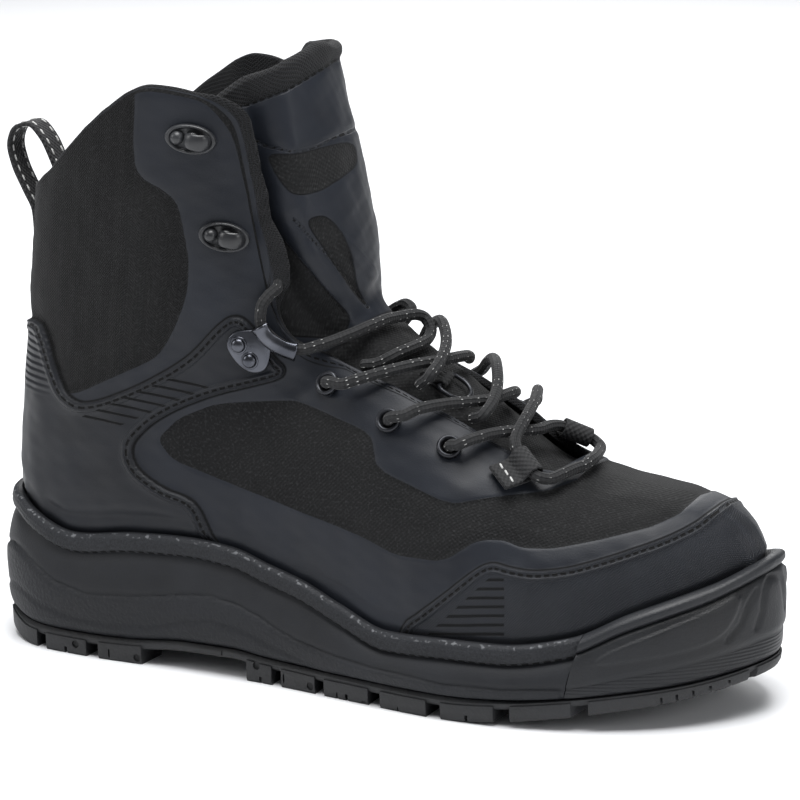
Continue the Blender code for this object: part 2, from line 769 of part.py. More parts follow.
def build_outsole(parts, cutters, rubber):
    outline = sole_outline()
    outsole = loft(
        "outsole",
        [
            sole_ring(outline, 0.0022, lambda x: sole_height(FACE, x)),
            sole_ring(outline, 0.0012, lambda x: sole_height(ROOT, x) + PLATE_RISE),
        ],
        parts,
        rubber,
    )
    half = BALL_WIDTH / 2
    loops = []
    for side in (-1, 1):
        for start, end, slant, reach in EDGE_LUGS:
            inner = side * (edge_width((start + end) / 2, side) - reach * half)
            outer = side * 1.3 * half
            a, b = start * SOLE_LENGTH, end * SOLE_LENGTH
            lean = slant * SOLE_LENGTH
            corner = 0.004
            loop = [
                (a, outer),
                (a + lean, inner + side * corner),
                (a + lean + corner, inner),
                (b + lean - corner, inner),
                (b + lean, inner + side * corner),
                (b, outer),
            ]
            loops.append(loop if side < 0 else loop[::-1])
    for x, y, length, width in INNER_LUGS:
        x, y, length, width = x * SOLE_LENGTH, y * half, length * SOLE_LENGTH / 2, width * half / 2
        loops.append(
            [
                (x - length, y - width * 0.45),
                (x, y - width),
                (x + length, y - width * 0.45),
                (x + length, y + width * 0.45),
                (x, y + width),
                (x - length, y + width * 0.45),
            ]
        )
    for plate in TOE_PLATES:
        loops.append([(x * SOLE_LENGTH, y * half) for x, y in plate])
    lugs = hide(flat_outline("lug_columns", loops, 0.08, Matrix.Identity(4), (0, 0, 0.01), cutters))
    plate = loft(
        "tread_plate",
        [
            sole_ring(outline, 0.0026, lambda x: sole_height(ROOT, x)),
            sole_ring(outline, 0.0020, lambda x: sole_height(ROOT, x) + 0.0018),
            sole_ring(outline, 0.0030, lambda x: sole_height(JOINT, x) - GAP),
        ],
        cutters,
    )
    boolean(outsole, lugs, "INTERSECT")
    boolean(outsole, hide(plate), "UNION")
    return outsole


def edge_width(share, side):
    table = np.array(SOLE_OUTLINE)
    return np.interp(share, table[:, 0], table[:, 1 if side < 0 else 2]) * BALL_WIDTH / 2


# Outer wall of the midsole and of the toe bumper, from the joint up to the lip's band
MIDSOLE_WALL = (
    # share of the height, inset
    (0.00, 0.0034),
    (0.10, 0.0014),
    (0.40, 0.0002),
    (0.72, 0.0006),
    (1.00, 0.0018),
)
BUMPER_WALL = (
    # share of the height, inset
    (0.00, 0.0026),
    (0.08, 0.0008),
    (0.46, 0.0000),
    (0.50, 0.0008),
    (1.00, 0.0010),
)


def sole_cup(name, wall, band, collection, finish):
    """Foot bed with its raised lip: outer wall, band under the lip, lip and inner wall."""
    outline = sole_outline()
    rings = []
    for share, shift in wall:
        def height(x, share=share):
            foot, top = sole_height(JOINT, x), sole_height(LIP, x) - band
            return foot + (top - foot) * share
        rings.append(sole_ring(outline, shift, height))
    rings.append(sole_ring(outline, SOLE_INSET, lambda x: sole_height(LIP, x) - band + 0.0012))
    rings.append(sole_ring(outline, SOLE_INSET, lambda x: sole_height(LIP, x)))
    rings.append(sole_ring(outline, SOLE_INSET + LIP_WALL, lambda x: sole_height(LIP, x)))
    rings.append(sole_ring(outline, SOLE_INSET + LIP_WALL, lambda x: sole_height(FLOOR, x)))
    return loft(name, rings, collection, finish)


def build_sole_cup(parts, cutters, foam, rubber):
    slope = (JOINT_TOP - JOINT_FOOT) / 0.05
    low, high = -0.02, 0.10
    line = [(JOINT_FOOT + slope * (z - 0.012), z) for z in (low, high)]
    rear = [(-0.05, low), line[0], line[1], (-0.05, high)]
    front = [(line[0][0] + GAP, low), (0.4, low), (0.4, high), (line[1][0] + GAP, high)]
    midsole = sole_cup("midsole", MIDSOLE_WALL, LIP_BAND, parts, foam)
    boolean(midsole, side_prism("midsole_side", rear, cutters), "INTERSECT")
    bumper = sole_cup("toe_bumper", BUMPER_WALL, 0.004, parts, rubber)
    boolean(bumper, side_prism("bumper_side", front, cutters), "INTERSECT")
    return midsole, bumper


def build_insole(parts, cloth):
    outline = sole_outline()
    shift = UPPER_INSET + UPPER_WALL + 2 * GAP
    low = sole_ring(outline, shift, lambda x: sole_height(FLOOR, x) + GAP)
    high = low + np.array([0, 0, INSOLE_THICKNESS])
    return loft("insole", [low, high], parts, cloth)


def open_shell(name, grid, collection, finish, closed=True):
    rows, columns = grid.shape[:2]
    return add_object(name, grid.reshape(-1, 3), ring_faces(rows, columns, closed), collection, finish)


def vertex_normals(grid, closed=True):
    rows, columns = grid.shape[:2]
    mesh = bpy.data.meshes.new("normals")
    mesh.from_pydata(grid.reshape(-1, 3).tolist(), [], ring_faces(rows, columns, closed))
    normals = np.array([v.normal[:] for v in mesh.vertices]).reshape(grid.shape)
    bpy.data.meshes.remove(mesh)
    return normals


def solidify(target, thickness, offset):
    step = target.modifiers.new("Wall", "SOLIDIFY")
    step.thickness = thickness
    step.offset = offset
    step.use_even_offset = False


def build_upper(parts, cloth):
    upper = open_shell("upper", upper_surface(), parts, cloth)
    solidify(upper, UPPER_WALL, -1)
    return upper


def tongue_surface(across=12):
    """Outer surface of the tongue: arcs seen from the axis, sunk under the facings at the sides."""
    grid = []
    for ax, az, mx, mz, angle, lift, lean, crown in TONGUE_SECTIONS:
        axis = np.array([ax, 0.0, az])
        way = np.array([mx - ax, 0.0, mz - az])
        way /= np.linalg.norm(way)
        turns = np.radians(np.linspace(-angle, angle, across + 1))
        rays = way * np.cos(turns)[:, None] + np.array([0, 1.0, 0]) * np.sin(turns)[:, None]
        starts = np.tile(axis, (across + 1, 1))
        skin = cast(starts, starts + rays * 0.06)
        t = np.clip((np.abs(np.linspace(-1, 1, across + 1)) - crown) / TONGUE_FALL, 0, 1)
        rise = 1 - t * t * (3 - 2 * t)
        sunk = -(UPPER_WALL + TONGUE_CLEARANCE)
        row = skin + form_normals(skin) * (sunk + (lift - sunk) * rise)[:, None]
        row[:, 2] += lean * row[:, 1]
        grid.append(row)
    return np.array(grid)


def build_tongue(parts, cloth):
    tongue = open_shell("tongue", tongue_surface(), parts, cloth, closed=False)
    solidify(tongue, TONGUE_THICKNESS, -1)
    return tongue


def build_overlay(name, edge, close, parts, cutters, finish):
    grid = upper_surface()
    shell = open_shell(name, grid + vertex_normals(grid) * GAP * 1.2, parts, finish)
    solidify(shell, OVERLAY_WALL, 1)
    boolean(shell, side_prism(name + "_side", list(edge) + close, cutters), "INTERSECT")
    return shell


def seat_on_side(x, z, side):
    """Point of the upper's surface at x and z on one side (-1 outer, 1 inner), and its normal."""
    low, high = 0.0, 0.08
    for _ in range(34):
        middle = (low + high) / 2
        inside = upper_form(np.array([[x, side * middle, z]]))[0] < 0
        low, high = (middle, high) if inside else (low, middle)
    point = np.array([[x, side * low, z]])
    return point[0], form_normals(point)[0]


def seat_on_top(x, y):
    """Point of the upper's surface over a place in plan, and its normal."""
    low, high = 0.03, 0.18
    for _ in range(34):
        middle = (low + high) / 2
        inside = upper_form(np.array([[x, y, middle]]))[0] < 0
        low, high = (middle, high) if inside else (low, middle)
    point = np.array([[x, y, low]])
    return point[0], form_normals(point)[0]


def frame_at(point, normal, along, lift):
    """Placing matrix: z along the normal, x as near to along as it can be, raised by lift."""
    z = Vector(normal).normalized()
    x = Vector(along)
    x = (x - z * x.dot(z)).normalized()
    y = z.cross(x)
    turn = Matrix((x, y, z)).transposed().to_4x4()
    return Matrix.Translation(Vector(point) + z * lift) @ turn


def tree_of(objects):
    """Search tree over the finished outsides of some solids."""
    bpy.context.view_layer.update()
    graph = bpy.context.evaluated_depsgraph_get()
    points, faces = [], []
    for each in objects:
        mesh = each.evaluated_get(graph).to_mesh()
        first = len(points)
        points += [each.matrix_world @ v.co for v in mesh.vertices]
        faces += [[first + i for i in face.vertices] for face in mesh.polygons]
        each.evaluated_get(graph).to_mesh_clear()
    return BVHTree.FromPolygons(points, faces)


def rest_on(tree, frame, reach_x, reach_y, clearance=HARDWARE_GAP):
    """Raise a frame until an oval round its origin clears the solids under it."""
    axis = frame.to_3x3() @ Vector((0, 0, 1))
    highest = -1.0
    for ring in (0.0, 0.5, 0.8, 1.0):
        for turn in np.radians(np.arange(0, 360, 15)):
            local = Vector((ring * reach_x * math.cos(turn), ring * reach_y * math.sin(turn), 0.02))
            hit = tree.ray_cast(frame @ local, -axis, 0.04)
            if hit[0] is not None:
                highest = max(highest, 0.02 - hit[3])
    return Matrix.Translation(axis * (highest + clearance)) @ frame


def push_clear(points, tree, radius):
    """Move route points out until a round bar through them clears the solids."""
    points = [Vector(p) for p in points]
    for _ in range(4):
        for i, point in enumerate(points):
            near, normal, _, distance = tree.find_nearest(point)
            inside = (point - near).dot(normal) < 0
            wanted = radius + HARDWARE_GAP
            if inside:
                points[i] = near + normal * wanted
            elif distance < wanted:
                points[i] = near + (point - near).normalized() * wanted
    return np.array([p[:] for p in points])


def mesh_from(shape, name):
    bmesh.ops.recalc_face_normals(shape, faces=shape.faces)
    mesh = bpy.data.meshes.new(name)
    shape.to_mesh(mesh)
    shape.free()
    return mesh


def cylinder_mesh(name, radius, height, segments=16, stretch=1.0):
    """Upright cylinder that stands on its own origin, stretched along x."""
    shape = bmesh.new()
    bmesh.ops.create_cone(
        shape, cap_ends=True, segments=segments, radius1=radius, radius2=radius, depth=height
    )
    bmesh.ops.transform(
        shape,
        matrix=Matrix.Diagonal((stretch, 1, 1, 1)) @ Matrix.Translation((0, 0, height / 2)),
        verts=shape.verts,
    )
    return mesh_from(shape, name)


def dome_mesh(name, radius, flat, rings=5):
    shape = bmesh.new()
    bmesh.ops.create_uvsphere(shape, u_segments=8, v_segments=rings, radius=radius)
    bmesh.ops.transform(shape, matrix=Matrix.Diagonal((1, 1, flat, 1)), verts=shape.verts)
    return mesh_from(shape, name)


def box_mesh(name, size):
    shape = bmesh.new()
    bmesh.ops.create_cube(shape, size=1)
    bmesh.ops.transform(shape, matrix=Matrix.Diagonal((*size, 1)), verts=shape.verts)
    return mesh_from(shape, name)


def place(name, mesh, matrix, collection, finish=None):
    made = bpy.data.objects.new(name, mesh)
    made.matrix_world = matrix
    collection.objects.link(made)
    if finish:
        mesh.materials.clear()
        mesh.materials.append(finish)
    return made


def tube(name, points, radius, collection, finish, radii=None):
    """Round bar through the points, as a closed mesh."""
    path = np.asarray(points, float)
    curve = bpy.data.curves.new(name, "CURVE")
    curve.dimensions = "3D"
    curve.bevel_depth = radius
    curve.bevel_resolution = 1
    curve.use_fill_caps = True
    spline = curve.splines.new("POLY")
    spline.points.add(len(path) - 1)
    for i, (point, co) in enumerate(zip(spline.points, path)):
        point.co = (*co, 1)
        if radii:
            share = i / (len(path) - 1)
            point.radius = radii[0] + (radii[1] - radii[0]) * share
    return curve_to_mesh(name, curve, Matrix.Identity(4), collection, finish)


def path_length(points):
    return float(np.sum(np.linalg.norm(np.diff(np.asarray(points, float), axis=0), axis=1)))


def over_surface(route):
    """Route points in space, from places in plan and heights over the upper's surface."""
    out = []
    for x, y, lift in route:
        point, normal = seat_on_top(x, y)
        out.append(point + normal * lift)
    return np.array(out)


SIDES = (("lateral", -1), ("medial", 1))


def build_eyelets(parts, ground, metal):
    for name, side in SIDES:
        for i, (x, z) in enumerate(EYELETS):
            point, normal = seat_on_side(x, z, side)
            reach = EYELET_RADIUS + EYELET_WIRE
            frame = rest_on(ground, frame_at(point, normal, (1, 0, 0), 0), reach, reach)
            frame = frame @ Matrix.Translation((0, 0, EYELET_WIRE))
            bpy.ops.mesh.primitive_torus_add(
                major_segments=12,
                minor_segments=5,
                major_radius=EYELET_RADIUS,
                minor_radius=EYELET_WIRE,
            )
            ring = bpy.context.object
            mesh = ring.data
            bpy.data.objects.remove(ring)
            place(f"eyelet_{name}_{i + 1}", mesh, frame, parts, metal)


def build_speed_hooks(parts, cutters, ground, plastic):
    for name, side in SIDES:
        for i, (x, z) in enumerate(SPEED_HOOKS):
            point, normal = seat_on_side(x, z, side)
            frame = frame_at(point, normal, (1, 0, -0.14), 0)
            frame = rest_on(ground, frame, HOOK_LENGTH / 2, HOOK_WIDTH / 2)
            label = f"speed_hook_{name}_{i + 1}"
            stretch = HOOK_LENGTH / HOOK_WIDTH
            base = place(
                label,
                cylinder_mesh(label, HOOK_WIDTH / 2, HOOK_BASE, 16, stretch),
                frame,
                parts,
                plastic,
            )
            shapes = (
                (dome_mesh("rivet", RIVET_RADIUS, 0.8), (-0.0052, 0, HOOK_BASE + 0.0010)),
                (box_mesh("stem", (0.0024, 0.0050, 0.0036)), (-0.0004, 0, HOOK_BASE + 0.0014)),
                (box_mesh("arm", (0.0078, 0.0060, 0.0014)), (0.0030, 0, HOOK_BASE + 0.0034)),
            )
            for mesh, offset in shapes:
                tool = place(mesh.name, mesh, frame @ Matrix.Translation(offset), cutters)
                boolean(base, hide(tool), "UNION")


def build_lock_hooks(parts, cutters, ground, metal):
    for name, side in SIDES:
        point, normal = seat_on_side(*LOCK_HOOK, side)
        frame = rest_on(ground, frame_at(point, normal, (1, 0, -0.42), 0), 0.0090, 0.0074)
        flip = -side
        outline = [
            (-0.0086, 0.0020), (-0.0066, 0.0056), (0.0000, 0.0092), (0.0058, 0.0088),
            (0.0082, 0.0040), (0.0088, -0.0030), (0.0050, -0.0062), (-0.0010, -0.0058),
            (-0.0076, -0.0016),
        ]
        outline = [(x, y * flip) for x, y in outline]
        plate = flat_outline(
            f"lock_hook_{name}", [outline], LOCK_PLATE, Matrix.Identity(4), (0, 0, 0), parts
        )
        plate.matrix_world = frame @ Matrix.Translation((0, 0, LOCK_PLATE / 2))
        plate.data.materials.clear()
        plate.data.materials.append(metal)
        for x, y in ((-0.0040, 0.0012), (0.0022, -0.0024)):
            rivet = dome_mesh("rivet", RIVET_RADIUS, 0.7)
            spot = frame @ Matrix.Translation((x, y * flip, LOCK_PLATE + 0.0010))
            tool = place("rivet", rivet, spot, cutters)
            boolean(plate, hide(tool), "UNION")
        boolean(plate, hide(build_horn(frame, side, cutters)), "UNION")


def build_horn(frame, side, cutters):
    """Curved shell over the lace's way past the hook, open on the side away from the plate."""
    middle = np.array(HOOK_RUN[:HORN_POINTS]) * (1, -side, 1)
    away = np.array((frame.to_3x3() @ Vector((0, 0, 1)))[:])
    count = len(middle)
    points = []
    for i, point in enumerate(middle):
        along = middle[min(i + 1, count - 1)] - middle[max(i - 1, 0)]
        along /= np.linalg.norm(along)
        out = away - along * np.dot(away, along)
        out /= np.linalg.norm(out)
        across = np.cross(along, out) * -side
        if across[0] > 0:
            across = -across
        share = i / (count - 1)
        start, stop = -50, 96 + 34 * share
        for turn in np.radians(np.linspace(start, stop, 7)):
            points.append(point + HORN_INNER * (out * math.cos(turn) + across * math.sin(turn)))
    faces = [
        (r * 7 + c, r * 7 + c + 1, (r + 1) * 7 + c + 1, (r + 1) * 7 + c)
        for r in range(count - 1)
        for c in range(6)
    ]
    shell = add_object("horn", points, faces, cutters)
    outward = sum((f.normal for f in shell.data.polygons), Vector()).dot(Vector(away)) > 0
    solidify(shell, HORN_WALL, 1 if outward else -1)
    return shell


def webbing_profile(hole, tail):
    """Side view of a strap folded round a hole and sewn flat behind it, with the hole's outline."""
    outer = hole + WEBBING_WALL
    height = outer
    turns = np.radians(np.linspace(-90, 130, 10))
    outside = [(outer * math.cos(t), height + outer * math.sin(t)) for t in turns]
    outside += [(-outer * 1.5, 2.4 * WEBBING_WALL), (-outer - tail, 1.8 * WEBBING_WALL)]
    outside += [(-outer - tail, 0.0)]
    ring = np.radians(np.linspace(0, 360, 11)[:-1])
    inside = [(hole * math.cos(t), height + hole * math.sin(t)) for t in ring]
    return [outside, inside]


def build_webbing(name, frame, width, hole, tail, parts, finish):
    """Strap over a bar: its width lies along the frame's y, its hole ahead of the tail along x."""
    loops = webbing_profile(hole, tail)
    strap = flat_outline(name, loops, width, UPRIGHT, (0, 0, 0), parts)
    strap.matrix_world = frame @ UPRIGHT
    strap.data.materials.clear()
    strap.data.materials.append(finish)
    return strap


def lace_loop_frame(x, y, turn, ground):
    point, normal = seat_on_top(x, y)
    side = -1 if y < 0 else 1
    inward = Matrix.Rotation(math.radians(turn), 3, "Z") @ Vector((0, -side, 0))
    frame = frame_at(point, normal, inward, 0)
    return rest_on(ground, frame, LACE_RADIUS + LACE_LOOP_TAIL + 0.002, LACE_LOOP_WIDTH * 0.6)


def tab_frame(ground):
    point, normal = seat_on_top(*TAB_PLACE)
    return rest_on(ground, frame_at(point, normal, (1, 0, 0), 0), TAB_TAIL, RING_WIDTH / 2)


def build_ring(parts, ground, metal):
    """Wire ring that swings in the tab, its straight bar on the hinge axis."""
    frame = tab_frame(ground)
    hole = RING_WIRE + GAP
    pivot = frame @ Vector((0, 0, hole + WEBBING_WALL))
    half = RING_WIDTH / 2
    points = [(0, -half * 0.35), (0, -half * 0.78), (0.0022, -half)]
    for t in np.radians(np.linspace(-90, 90, 9)):
        points.append((RING_DEPTH - half + half * math.cos(t), half * math.sin(t)))
    points += [(0.0022, half), (0, half * 0.78), (0, half * 0.35)]
    curve = bpy.data.curves.new("d_ring", "CURVE")
    curve.dimensions = "3D"
    curve.bevel_depth = RING_WIRE
    curve.bevel_resolution = 1
    spline = curve.splines.new("POLY")
    spline.points.add(len(points) - 1)
    for point, (x, y) in zip(spline.points, points):
        point.co = (x, y, 0, 1)
    spline.use_cyclic_u = True
    ring = curve_to_mesh("d_ring", curve, Matrix.Identity(4), parts, metal)
    turn = frame.to_3x3().to_4x4()
    ring.matrix_world = Matrix.Translation(pivot) @ turn
    return ring


def build_pull_loop(parts, webbing):
    path = curve_through(PULL_PATH, 16)
    half = PULL_WIDTH / 2
    points = [(x, y, z) for y in (-half, half) for x, z in path]
    count = len(path)
    faces = [(i, i + 1, count + i + 1, count + i) for i in range(count - 1)]
    loop = add_object("pull_loop", points, faces, parts, webbing)
    solidify(loop, PULL_WALL, 0)
    return loop


def build_laces(parts, cutters, ground, loops, cord):
    def through(frame, ends):
        """Points on the axis of a webbing loop's hole, by their distance towards the toe."""
        middle = frame @ Vector((0, 0, LACE_HOLE + WEBBING_WALL))
        ahead = frame.to_3x3() @ Vector((0, 1, 0))
        ahead = ahead if ahead.x > 0 else -ahead
        return [tuple(middle + ahead * end) for end in ends]

    def run(name, route, collection, start=(), end=()):
        points = np.array([*start, *over_surface(route), *end])
        count = max(4, round(path_length(points) / (LACE_RADIUS * 2.6)))
        path = push_clear(curve_through(points, count), ground, LACE_RADIUS + 0.0006)
        return tube(name, path, LACE_RADIUS, collection, cord)

    for i, (upper_run, lower_run) in enumerate(LACE_CROSSINGS):
        starts = [through(frame, (-GAP, -0.003, -0.0062, -0.0088)) if i == 0 else () for frame in loops]
        top = run(f"lace_crossing_{i + 1}", upper_run, parts, start=starts[0])
        under = run("under_run", lower_run, cutters, start=starts[1])
        boolean(top, hide(under), "UNION")
    for label, start, side in (("outer", LACE_END_OUTER, 1), ("inner", LACE_END_INNER, -1)):
        route = [*start, *[(x, y * side, z) for x, y, z in HOOK_RUN]]
        count = round(path_length(route) / (LACE_RADIUS * 2.3))
        path = push_clear(curve_through(route, count), ground, LACE_RADIUS + 0.0004)
        tube(f"lace_end_{label}", path, LACE_RADIUS, parts, cord)
    first, last = [through(frame, (GAP, 0.003, 0.0062, 0.0088)) for frame in loops]
    run("lace_bight", LACE_BIGHT, parts, start=first, end=last[::-1])


def stand_on_origin(objects):
    """Parents everything to an empty that brings the sole's middle over the origin."""
    outline = sole_outline()
    middle = (outline.min(axis=0) + outline.max(axis=0)) / 2
    origin = bpy.data.objects.new("boot_origin", None)
    bpy.context.scene.collection.objects.link(origin)
    origin.location = (-middle[0], -middle[1], 0)
    for item in objects:
        item.parent = origin
    return origin


def main():
    clear_scene()
    scene = bpy.context.scene.collection
    parts = bpy.data.collections.new("wading_boot")
    cutters = bpy.data.collections.new("cutters")
    scene.children.link(parts)
    scene.children.link(cutters)

    rubber = material("black_rubber", (0.016, 0.017, 0.019), 0.62)
    foam = material("midsole_rubber", (0.020, 0.021, 0.024), 0.58)
    cloth = material("black_fabric", (0.020, 0.021, 0.023), 0.88)
    film = material("film_overlay", (0.036, 0.039, 0.048), 0.50)

    build_outsole(parts, cutters, rubber)
    build_sole_cup(parts, cutters, foam, rubber)
    build_insole(parts, cloth)
    build_upper(parts, cloth)
    build_tongue(parts, cloth)

    seat = GAP + OVERLAY_SEAT
    counter_foot = lip_line(0.1050, -0.020, seat)
    build_overlay("heel_counter", COUNTER_EDGE, counter_foot, parts, cutters, film)
    cap_foot = [(0.34, 0.1000), (0.34, 0.0640)] + lip_line(SOLE_LENGTH, 0.1885, seat)
    build_overlay("toe_cap", CAP_EDGE, cap_foot, parts, cutters, cloth)
    build_overlay("eyestay", EYESTAY_EDGE, [], parts, cutters, film)
    metal = material("gunmetal", (0.16, 0.165, 0.18), 0.34, 0.9)
    black_metal = material("black_eyelet", (0.035, 0.036, 0.040), 0.38, 0.6)
    plastic = material("hook_plastic", (0.030, 0.031, 0.034), 0.36)
    webbing = material("webbing", (0.022, 0.022, 0.024), 0.86)
    cord = material("lace", (0.024, 0.024, 0.026), 0.82)
    ground = tree_of(list(parts.objects))
    build_eyelets(parts, ground, black_metal)
    build_speed_hooks(parts, cutters, ground, plastic)
    build_lock_hooks(parts, cutters, ground, metal)
    tab = tab_frame(ground)
    build_webbing("ring_tab", tab, TAB_WIDTH, RING_WIRE + GAP, TAB_TAIL, parts, webbing)
    build_ring(parts, ground, metal)
    build_pull_loop(parts, webbing)
    loops = [lace_loop_frame(*spot, ground) for spot in LACE_LOOPS]
    ground = tree_of(list(parts.objects))
    build_laces(parts, cutters, ground, loops, cord)
    for (name, _), frame in zip(SIDES, loops):
        label = f"lace_loop_{name}"
        build_webbing(label, frame, LACE_LOOP_WIDTH, LACE_HOLE, LACE_LOOP_TAIL, parts, webbing)
    stand_on_origin(list(parts.objects) + list(cutters.objects))


main()
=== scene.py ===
import json
import math
import bmesh
import bpy
import numpy as np
from mathutils import Matrix, Vector
from mathutils.bvhtree import BVHTree

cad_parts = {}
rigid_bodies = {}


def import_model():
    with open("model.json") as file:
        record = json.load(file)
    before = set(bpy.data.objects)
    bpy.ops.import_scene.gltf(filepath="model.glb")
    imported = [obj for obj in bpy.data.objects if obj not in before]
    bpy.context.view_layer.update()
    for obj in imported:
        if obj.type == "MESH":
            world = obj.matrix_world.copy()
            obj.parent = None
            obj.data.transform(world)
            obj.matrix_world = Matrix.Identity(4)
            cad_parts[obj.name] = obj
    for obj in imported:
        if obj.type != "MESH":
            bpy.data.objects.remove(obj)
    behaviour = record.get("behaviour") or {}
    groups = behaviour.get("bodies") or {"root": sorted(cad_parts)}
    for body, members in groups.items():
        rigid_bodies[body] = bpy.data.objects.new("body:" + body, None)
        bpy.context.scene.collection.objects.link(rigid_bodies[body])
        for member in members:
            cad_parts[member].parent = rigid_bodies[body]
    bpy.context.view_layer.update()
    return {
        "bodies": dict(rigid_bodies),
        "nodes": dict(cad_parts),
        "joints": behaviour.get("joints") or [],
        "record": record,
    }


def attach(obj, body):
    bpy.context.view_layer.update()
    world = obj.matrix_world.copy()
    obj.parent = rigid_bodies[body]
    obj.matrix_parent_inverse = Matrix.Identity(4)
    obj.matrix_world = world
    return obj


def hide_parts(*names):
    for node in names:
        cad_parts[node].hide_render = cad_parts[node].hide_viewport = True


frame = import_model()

nodes = frame["nodes"]
scene = bpy.context.scene
print("frame loaded:", len(nodes), "nodes")


# the camera, at the photograph's angle
cameraView = {
    "azimuth": 25.0,            # degrees round from the boot's outer side
    "elevation": 13.05,
    "distance": 1.650,
    "focal": 4360 / 800,        # in image widths
    "target": (0.0073, 0.0004, 0.1048),
}
bootShift = np.array([-0.1590, 0.0004, 0.0])    # from the heel's own corner to the frame


def viewAxes(view):
    a, e = math.radians(view["azimuth"]), math.radians(view["elevation"])
    back = Vector((math.sin(a) * math.cos(e), -math.cos(a) * math.cos(e), math.sin(e)))
    right = Vector((math.cos(a), math.sin(a), 0))
    return back, right, back.cross(right)


def makeCamera(view):
    back, right, up = viewAxes(view)
    data = bpy.data.cameras.new("camera")
    data.sensor_width = 36
    data.lens = 36 * view["focal"]
    data.clip_end = 20
    camera = bpy.data.objects.new("camera", data)
    scene.collection.objects.link(camera)
    turn = Matrix((right, up, back)).transposed().to_4x4()
    camera.matrix_world = Matrix.Translation(Vector(view["target"]) + back * view["distance"]) @ turn
    scene.camera = camera


makeCamera(cameraView)


# Where points of the boot, in its own corner's frame, show in the 800 pixel picture
def onPicture(points, view=cameraView):
    back, right, up = (np.array(v) for v in viewAxes(view))
    v = points + bootShift - (np.array(view["target"]) + back * view["distance"])
    depth = -(v @ back)
    scale = 800 * view["focal"] / depth
    return np.stack([400 + scale * (v @ right), 400 - scale * (v @ up)], -1)


# curves and the last of the boot, the same as the solids are made from
def smooth(x, xs, ys):
    xs, ys = np.asarray(xs, float), np.asarray(ys, float)
    x = np.clip(np.asarray(x, float), xs[0], xs[-1])
    step = np.diff(xs)
    slope = np.diff(ys) / step
    tangent = np.empty_like(ys)
    tangent[0], tangent[-1] = slope[0], slope[-1]
    sameWay = slope[:-1] * slope[1:] > 0
    weightA = 2 * step[1:] + step[:-1]
    weightB = step[1:] + 2 * step[:-1]
    safeA = np.where(sameWay, slope[:-1], 1.0)
    safeB = np.where(sameWay, slope[1:], 1.0)
    tangent[1:-1] = np.where(sameWay, (weightA + weightB) / (weightA / safeA + weightB / safeB), 0.0)
    i = np.clip(np.searchsorted(xs, x, side="right") - 1, 0, len(step) - 1)
    t = (x - xs[i]) / step[i]
    return (
        ys[i] * (1 + 2 * t) * (1 - t) ** 2
        + step[i] * tangent[i] * t * (1 - t) ** 2
        + ys[i + 1] * t * t * (3 - 2 * t)
        - step[i] * tangent[i + 1] * t * t * (1 - t)
    )


# Distance along a line of points, from 0 at its first
def runAlong(points):
    return np.concatenate([[0], np.cumsum(np.linalg.norm(np.diff(points, axis=0), axis=1))])


def units(vectors):
    return vectors / np.linalg.norm(vectors, axis=1)[:, None]


def curveThrough(points, count):
    p = np.asarray(points, float)
    at = runAlong(p)
    fine = np.linspace(0, at[-1], 40 * len(p))
    dense = np.column_stack([smooth(fine, at, p[:, k]) for k in range(p.shape[1])])
    run = runAlong(dense)
    wanted = np.linspace(0, run[-1], count)
    return np.column_stack([np.interp(wanted, run, dense[:, k]) for k in range(p.shape[1])])


def closedSpline(points, samples):
    p = np.asarray(points, float)
    m = len(p)
    d = np.sqrt(np.linalg.norm(np.roll(p, -1, 0) - p, axis=1))
    out = []
    for i in range(m):
        p0, p1, p2, p3 = p[i - 1], p[i], p[(i + 1) % m], p[(i + 2) % m]
        t1 = 0.0
        t0, t2 = -d[i - 1], d[i]
        t3 = t2 + d[(i + 1) % m]
        for t in np.linspace(0, t2, samples, endpoint=False):
            a1 = (t1 - t) / (t1 - t0) * p0 + (t - t0) / (t1 - t0) * p1
            a2 = (t2 - t) / (t2 - t1) * p1 + (t - t1) / (t2 - t1) * p2
            a3 = (t3 - t) / (t3 - t2) * p2 + (t - t2) / (t3 - t2) * p3
            b1 = (t2 - t) / (t2 - t0) * a1 + (t - t0) / (t2 - t0) * a2
            b2 = (t3 - t) / (t3 - t1) * a2 + (t - t1) / (t3 - t1) * a3
            out.append((t2 - t) / (t2 - t1) * b1 + (t - t1) / (t2 - t1) * b2)
    return np.array(out)


